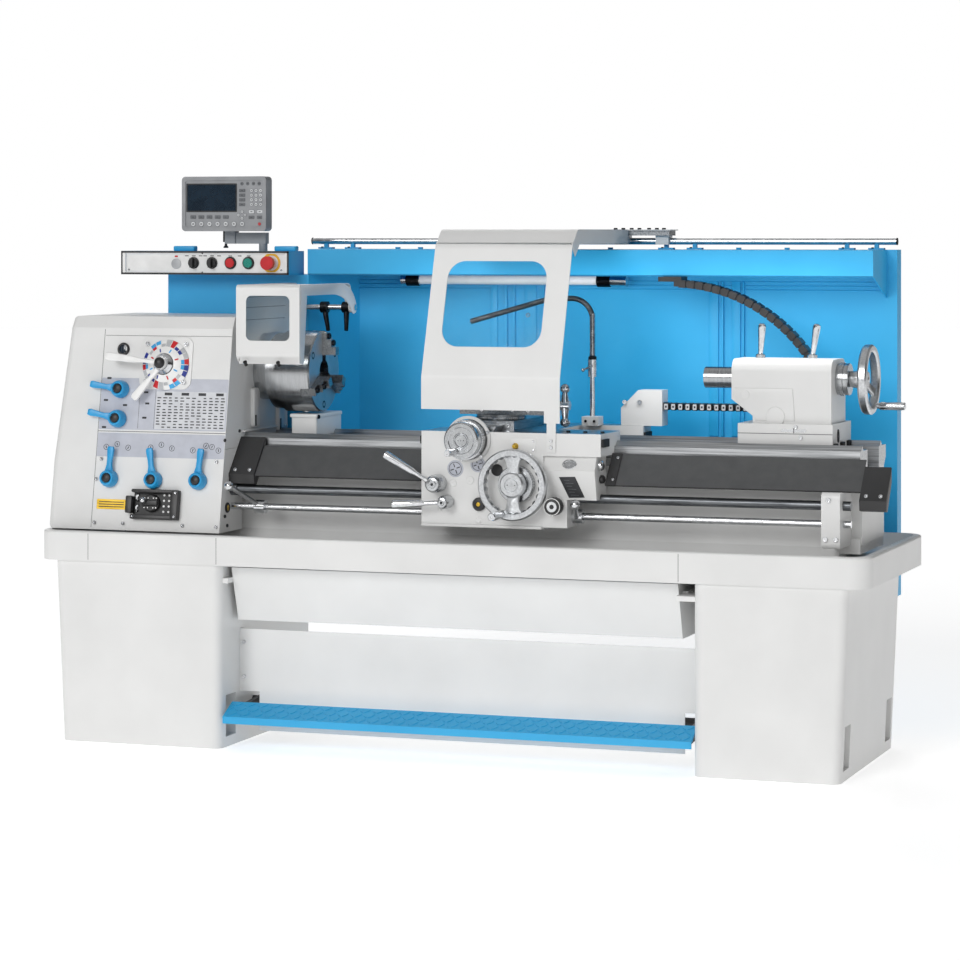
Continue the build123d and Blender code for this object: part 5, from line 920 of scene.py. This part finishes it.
# Tailstock: raised panel, base joint, end wipers and collar; tapered clamp handles and the graduated quill
tail = to_front(-88)
foot = to_front(-114)
stock = Piece("tailstock_fittings", "tailstock", cast_enamel, turned_steel, rubber, dark_print, chromed,
              seam_shade)
stock.add(outline(((790, 1046), (957, 1046), (963, 956), (850, 956), (846, 968), (790, 1010)), 3, 2), tail)
stock.add(rod(27, -0.5, 5.5, soft=2), spot(tail, 908, 968))
stock.add(rod(13, -0.5, 4.4, soft=1), spot(tail, 820, 1028))
stock.add(block((806, 921, -0.5), (1076, 923, 0.2)), foot, 5)
stock.add(block((931, 927, -0.5), (1001, 935, 1), 1), foot, 4)
stock.add(block((965, 924, 0.5), (967, 938, 1.3)), foot, 3)
for x, z in ((972, 941), (986, 912)):
    stock.add(screw_head(6), spot(foot, x, z), 4)
for y in (-90, -6, 76):
    stock.add(block((y - 18, 881.6, -0.5), (y + 18, 896, 7), 3, 1), to_right(1076), 2)
plate = turned([(0, 1), (8, 1), (9, 3), (12, 3), (13, -0.5)], 32)
bmesh.ops.scale(plate, vec=(0.7, 1.5, 1), verts=plate.verts)
stock.add(plate, spot(to_right(1076), -50, 915), 3)
barrel = spot(to_right(1066), 0, spindle_z)
stock.add(turned([(44.4, 6), (46, 7), (46, 20), (44.4, 21)], 64), barrel, 1)
stock.add(turned([(40, 22), (45, 23), (45, 32), (40, 33)], 64), barrel, 1)
for mark in range(60):
    stock.add(block((45.6, -0.7, 7.5), (46.6, 0.7, 19.5)), spot(barrel, 0, 0, 0, mark * 6), 1)
stock.add(turned([(31, -3), (40, -3), (40, 0.5), (31, 0.5)], 48, closed=True),
          spot(to_left(781), 0, spindle_z), 3)
stock.done()
for name, x, y, lean_x in (("quill_lock_lever", 842, 0, 8), ("tailstock_clamp_lever", 985, 30, 16)):
    handle = Piece(f"{name}_form", name, chromed)
    handle.add(turned([(0, -1), (14, -1), (14, 9), (11, 12), (0, 12)], 32), spot(to_top(1127), x, y))
    handle.add(turned([(0, 0), (6.5, 0), (7, 12), (10.6, 66), (11.4, 82), (10, 89), (6, 92), (0, 92.5)], 32),
               between((x, y, 1134), (x + lean_x, y - 12, 1224)))
    handle.done([name])
quill = Piece("quill_scale", "quill", dark_print, turned_steel)
for mark in range(11):
    quill.add(block((-0.4, -8 if mark % 5 == 0 else -5, 29.8), (0.4, 4, 30.3)),
              spot(facing((0, 0, spindle_z), (1, 0, 0), (0, 0.5, 0.866)), 700 + mark * 7, 0))
quill.add(turned([(13, -0.5), (24, -0.5), (24, 0.8), (13, 0.8)], 40, closed=True),
          spot(to_left(683), 0, spindle_z), 1)
quill.done()

# Tailstock hand wheel: dished rim, three spokes and a chromed handle
tail_wheel = Piece("tailstock_wheel_form", "tailstock_handwheel", cast_aluminium, chromed)
disc = to_right(1140)
rim = turned([(98, 5), (98, 21), (94, 26), (82, 26), (77, 21), (77, 5), (82, 0), (94, 0)], 72, closed=True)
tail_wheel.add(rim, spot(disc, 0, spindle_z))
for turn in (90, 210, 330):
    y, z = around(turn, 16)
    tail_wheel.add(grip(66, ((0.0, 30, 14, -2), (0.45, 24, 12, 2), (0.8, 24, 12, 8), (1.0, 32, 12, 12)), 3),
                   spot(disc, y, spindle_z + z, 0, turn))
tail_wheel.add(turned([(0, 14), (6, 14), (8, 12), (20, 12), (26, 6), (28, -8), (24, -24), (22, -39),
                       (0, -39)], 40), spot(disc, 0, spindle_z))
y, z = around(-60, 87)
tail_grip = spot(disc, y, spindle_z + z)
tail_wheel.add(turned([(0, 106), (3, 106), (3.4, 107.6), (9, 107.6), (11, 105), (12, 94), (11.4, 60),
                       (12, 40), (10, 34), (8, 33), (8, 12)], 32), tail_grip, 1)
tail_wheel.done(["tailstock_handwheel"])


# Way covers: bands between their boxes and the saddle, cut into many short lengths along their run
def way_cover(name, node_name, fixed, moving):
    cover = Piece(name, None, cover_band, rubber)
    left, right = min(fixed, moving), max(fixed, moving)
    for low, high, finish in (((left, 1, 0.2), (right, 112, 1.9), 0),
                              ((left, -0.4, 0), (right, 1.6, 2.6), 1)):
        strip = block(low, high)
        long = [e for e in strip.edges if abs(e.verts[0].co.x - e.verts[1].co.x) > 1]
        bmesh.ops.subdivide_edges(strip, edges=long, cuts=60, use_grid_fill=True)
        cover.add(strip, band, finish)
    made = cover.done([node_name])
    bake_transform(made)


way_cover("left_cover_band", "way_cover_left", -619.7, -68.3)
way_cover("right_cover_band", "way_cover_right", 1187, 462.3)

# Boxes the bands wind into: a sloped lid, a short lower flank and two screws; the support of the right one
boxes = Piece("cover_box_forms", "frame", black_enamel, chromed)
for start, end, forward, drop, top in ((-677.4, -598, 0, 0, (-172, 884)),
                                       (1187, 1261, 17, 25, (-186, 868))):
    profile = [top, (-262.8, 781), (-258, 754), (-240, 750), (top[0], 826)]
    boxes.add(outline([(y - forward, z - drop) for y, z in profile], end - start, 2), to_right(start))
    lid = facing((0, -262.8 - forward, 781 - drop), (1, 0, 0), (0, 74, 84))
    for x in (start + 18, end - 16):
        boxes.add(screw_head(6), spot(lid, x, 14), 1)
boxes.add(block((1140, -196, 775), (1190, -164, 826)), in_frame)
boxes.done(["way_cover_boxes"])

# Lower run of the cable chain: links with pale lids
run_links = Piece("chain_lower_links", None, black_plastic, pale_key, dark_print)
for count in range(18):
    left = 517 + count * 21.5
    link = block((left, 137.5, 966.5), (left + 17, 182.5, 987.5))
    rounded(link, link.edges[:], 2.5, 2)
    run_links.add(link, in_frame)
    run_links.add(block((left + 3, 969, -0.5), (left + 14, 985, 0.6), 2), to_front(137.5), 1)
    run_links.add(block((left + 6, 974, 0.3), (left + 11, 980, 0.9)), to_front(137.5), 2)
    run_links.add(block((left + 14, 146, 971), (left + 22, 174, 983)), in_frame)
made = run_links.done(["cable_chain_lower"])
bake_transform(made)
chain_ends = Piece("chain_brackets", "carriage", milled_steel, chromed)
chain_ends.add(block((488, 140, 964), (518, 180, 990)), in_frame)
for z in (970, 984):
    chain_ends.add(screw_head(3), spot(to_front(140), 500, z), 1)
chain_ends.done()

# Shield: slider block and its screws; coolant cock, hose coils and clip screws
hood_top = Piece("shield_fittings", "carriage", black_oxide, milled_steel)
for x in (302, 326, 352, 376, 406, 430, 452):
    hood_top.add(screw_head(6), spot(to_top(1490), x, 372))
hood_top.add(block((300, 366, 1472), (470, 434, 1487)), in_frame, 1)
hood_top.done()
coolant = Piece("coolant_fittings", "carriage", chromed, black_oxide)
tap = spot(to_top(0), 313, 105)
coolant.add(turned([(9, 1084), (13, 1086), (13, 1098), (9, 1100)], 6), tap)
coolant.add(turned([(9, 1110), (12, 1112), (12, 1120), (9, 1122)], 24), tap, 1)
coolant.bar((313, 105, 1092), (313, 84, 1092), 5)
coolant.bar((313, 86, 1092), (292, 86, 1083), 3.5, 0, 2.5)
coolant.add(ball(5.5), in_frame @ Matrix.Translation((290, 86, 1082)))
for count in range(44):
    coolant.add(turned([(8.2, -1.2), (9.4, 0), (8.2, 1.2)], 20), spot(tap, 0, 0, 1124 + count * 2.8))
for x in (300, 326):
    coolant.add(screw_head(4), spot(to_front(80), x, 934), 1)
coolant.done()

# Foot brake: raised chequer lozenges on the bar; screws of the kick panel and the end bracket
tread = facing((0, -370, 94), (1, 0, 0), (0, 68, 34))
chequer = Piece("brake_chequer", "brake", blue_enamel)
for column in range(70):
    for row in range(3):
        turn = 45 if (column + row) % 2 else -45
        chequer.add(outline(((-11, 0), (0, -2.6), (11, 0), (0, 2.6)), 1.6),
                    spot(tread, -640 + column * 19.8, 14 + row * 24, 0, turn))
chequer.done()
screws = Piece("panel_screws", "frame", chromed)
for x, z in ((-642, 292), (-641, 192)):
    screws.add(screw_head(6), spot(to_front(-232), x, z))
for x, z in ((1104, 755), (1095, 649), (1124, 649)):
    screws.add(screw_head(7), spot(to_front(-282), x, z))
screws.done()

# Floor, light and camera
floor_mesh = bpy.data.meshes.new("floor")
ground = bmesh.new()
bmesh.ops.create_circle(ground, cap_ends=True, segments=64, radius=40.0)
bmesh.ops.translate(ground, vec=(0, 0, -0.002), verts=ground.verts)
ground.to_mesh(floor_mesh)
ground.free()
floor = bpy.data.objects.new("floor", floor_mesh)
bpy.context.scene.collection.objects.link(floor)
floor_paint = enamel("pale_studio_floor", "#fafafa", "#fcfcfc", 0.9, 0.0)
floor_glow = floor_paint.node_tree.nodes["Principled BSDF"].inputs
floor_glow["Emission Color"].default_value = linear("#ffffff")
floor_glow["Emission Strength"].default_value = 0.52
floor_mesh.materials.append(floor_paint)
floor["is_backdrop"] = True

world = bpy.data.worlds.new("studio")
bpy.context.scene.world = world
world.use_nodes = True
sky = world.node_tree
sky.nodes["Background"].inputs["Color"].default_value = linear("#ffffff")
height = node(sky, "SeparateXYZ", {"Vector": node(sky, "TexCoord").outputs["Generated"]}).outputs["Z"]
dome = node(sky, "MapRange", {"Value": height, "From Min": 0.3, "From Max": 1.0, "To Min": 0.04,
                              "To Max": 0.55})
backdrop = node(sky, "MapRange", {"Value": node(sky, "LightPath").outputs["Is Camera Ray"],
                                  "To Min": dome.outputs["Result"], "To Max": 1.0})
sky.links.new(backdrop.outputs["Result"], sky.nodes["Background"].inputs["Strength"])


def lamp(name, towards, spread_angle, power):
    """Broad soft light from one direction, even over the whole floor."""
    data = bpy.data.lights.new(name, "SUN")
    data.angle = math.radians(spread_angle)
    data.energy = power
    made = bpy.data.objects.new(name, data)
    made.rotation_euler = Vector(towards).to_track_quat("Z", "Y").to_euler()
    bpy.context.scene.collection.objects.link(made)


lamp("key_light", (-0.193, -0.907, 0.375), 24, 1.15)
lamp("front_light", (0.33, -0.9, 0.28), 40, 0.35)
lamp("back_light", (-0.45, 0.75, 0.5), 40, 0.6)
# Strip lamp over the ways that lights the recess of the splash guard, unseen by the camera
recess_data = bpy.data.lights.new("recess_light", "AREA")
recess_data.shape = "RECTANGLE"
recess_data.size, recess_data.size_y = 1.4, 0.1
recess_data.energy = 3.4
recess = bpy.data.objects.new("recess_light", recess_data)
recess.location = (0.45, -0.04, 1.33)
recess.rotation_euler = Vector((0, -0.3, 0.44)).to_track_quat("Z", "Y").to_euler()
recess.visible_camera = recess.visible_glossy = False
bpy.context.scene.collection.objects.link(recess)

camera_data = bpy.data.cameras.new("camera")
camera_data.lens = 119.8
camera_data.sensor_width = 36.0
camera_data.shift_y = -0.2576
camera_data.clip_end = 200.0
camera = bpy.data.objects.new("camera", camera_data)
camera.location = (3.0827, -8.7637, 1.4805)
camera.rotation_euler = (math.radians(90), 0, math.radians(19.36))
bpy.context.scene.collection.objects.link(camera)
bpy.context.scene.camera = camera
# Paint colours are shown at their own strength
bpy.context.scene.view_settings.view_transform = "Standard"

bpy.context.view_layer.update()
low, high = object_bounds()
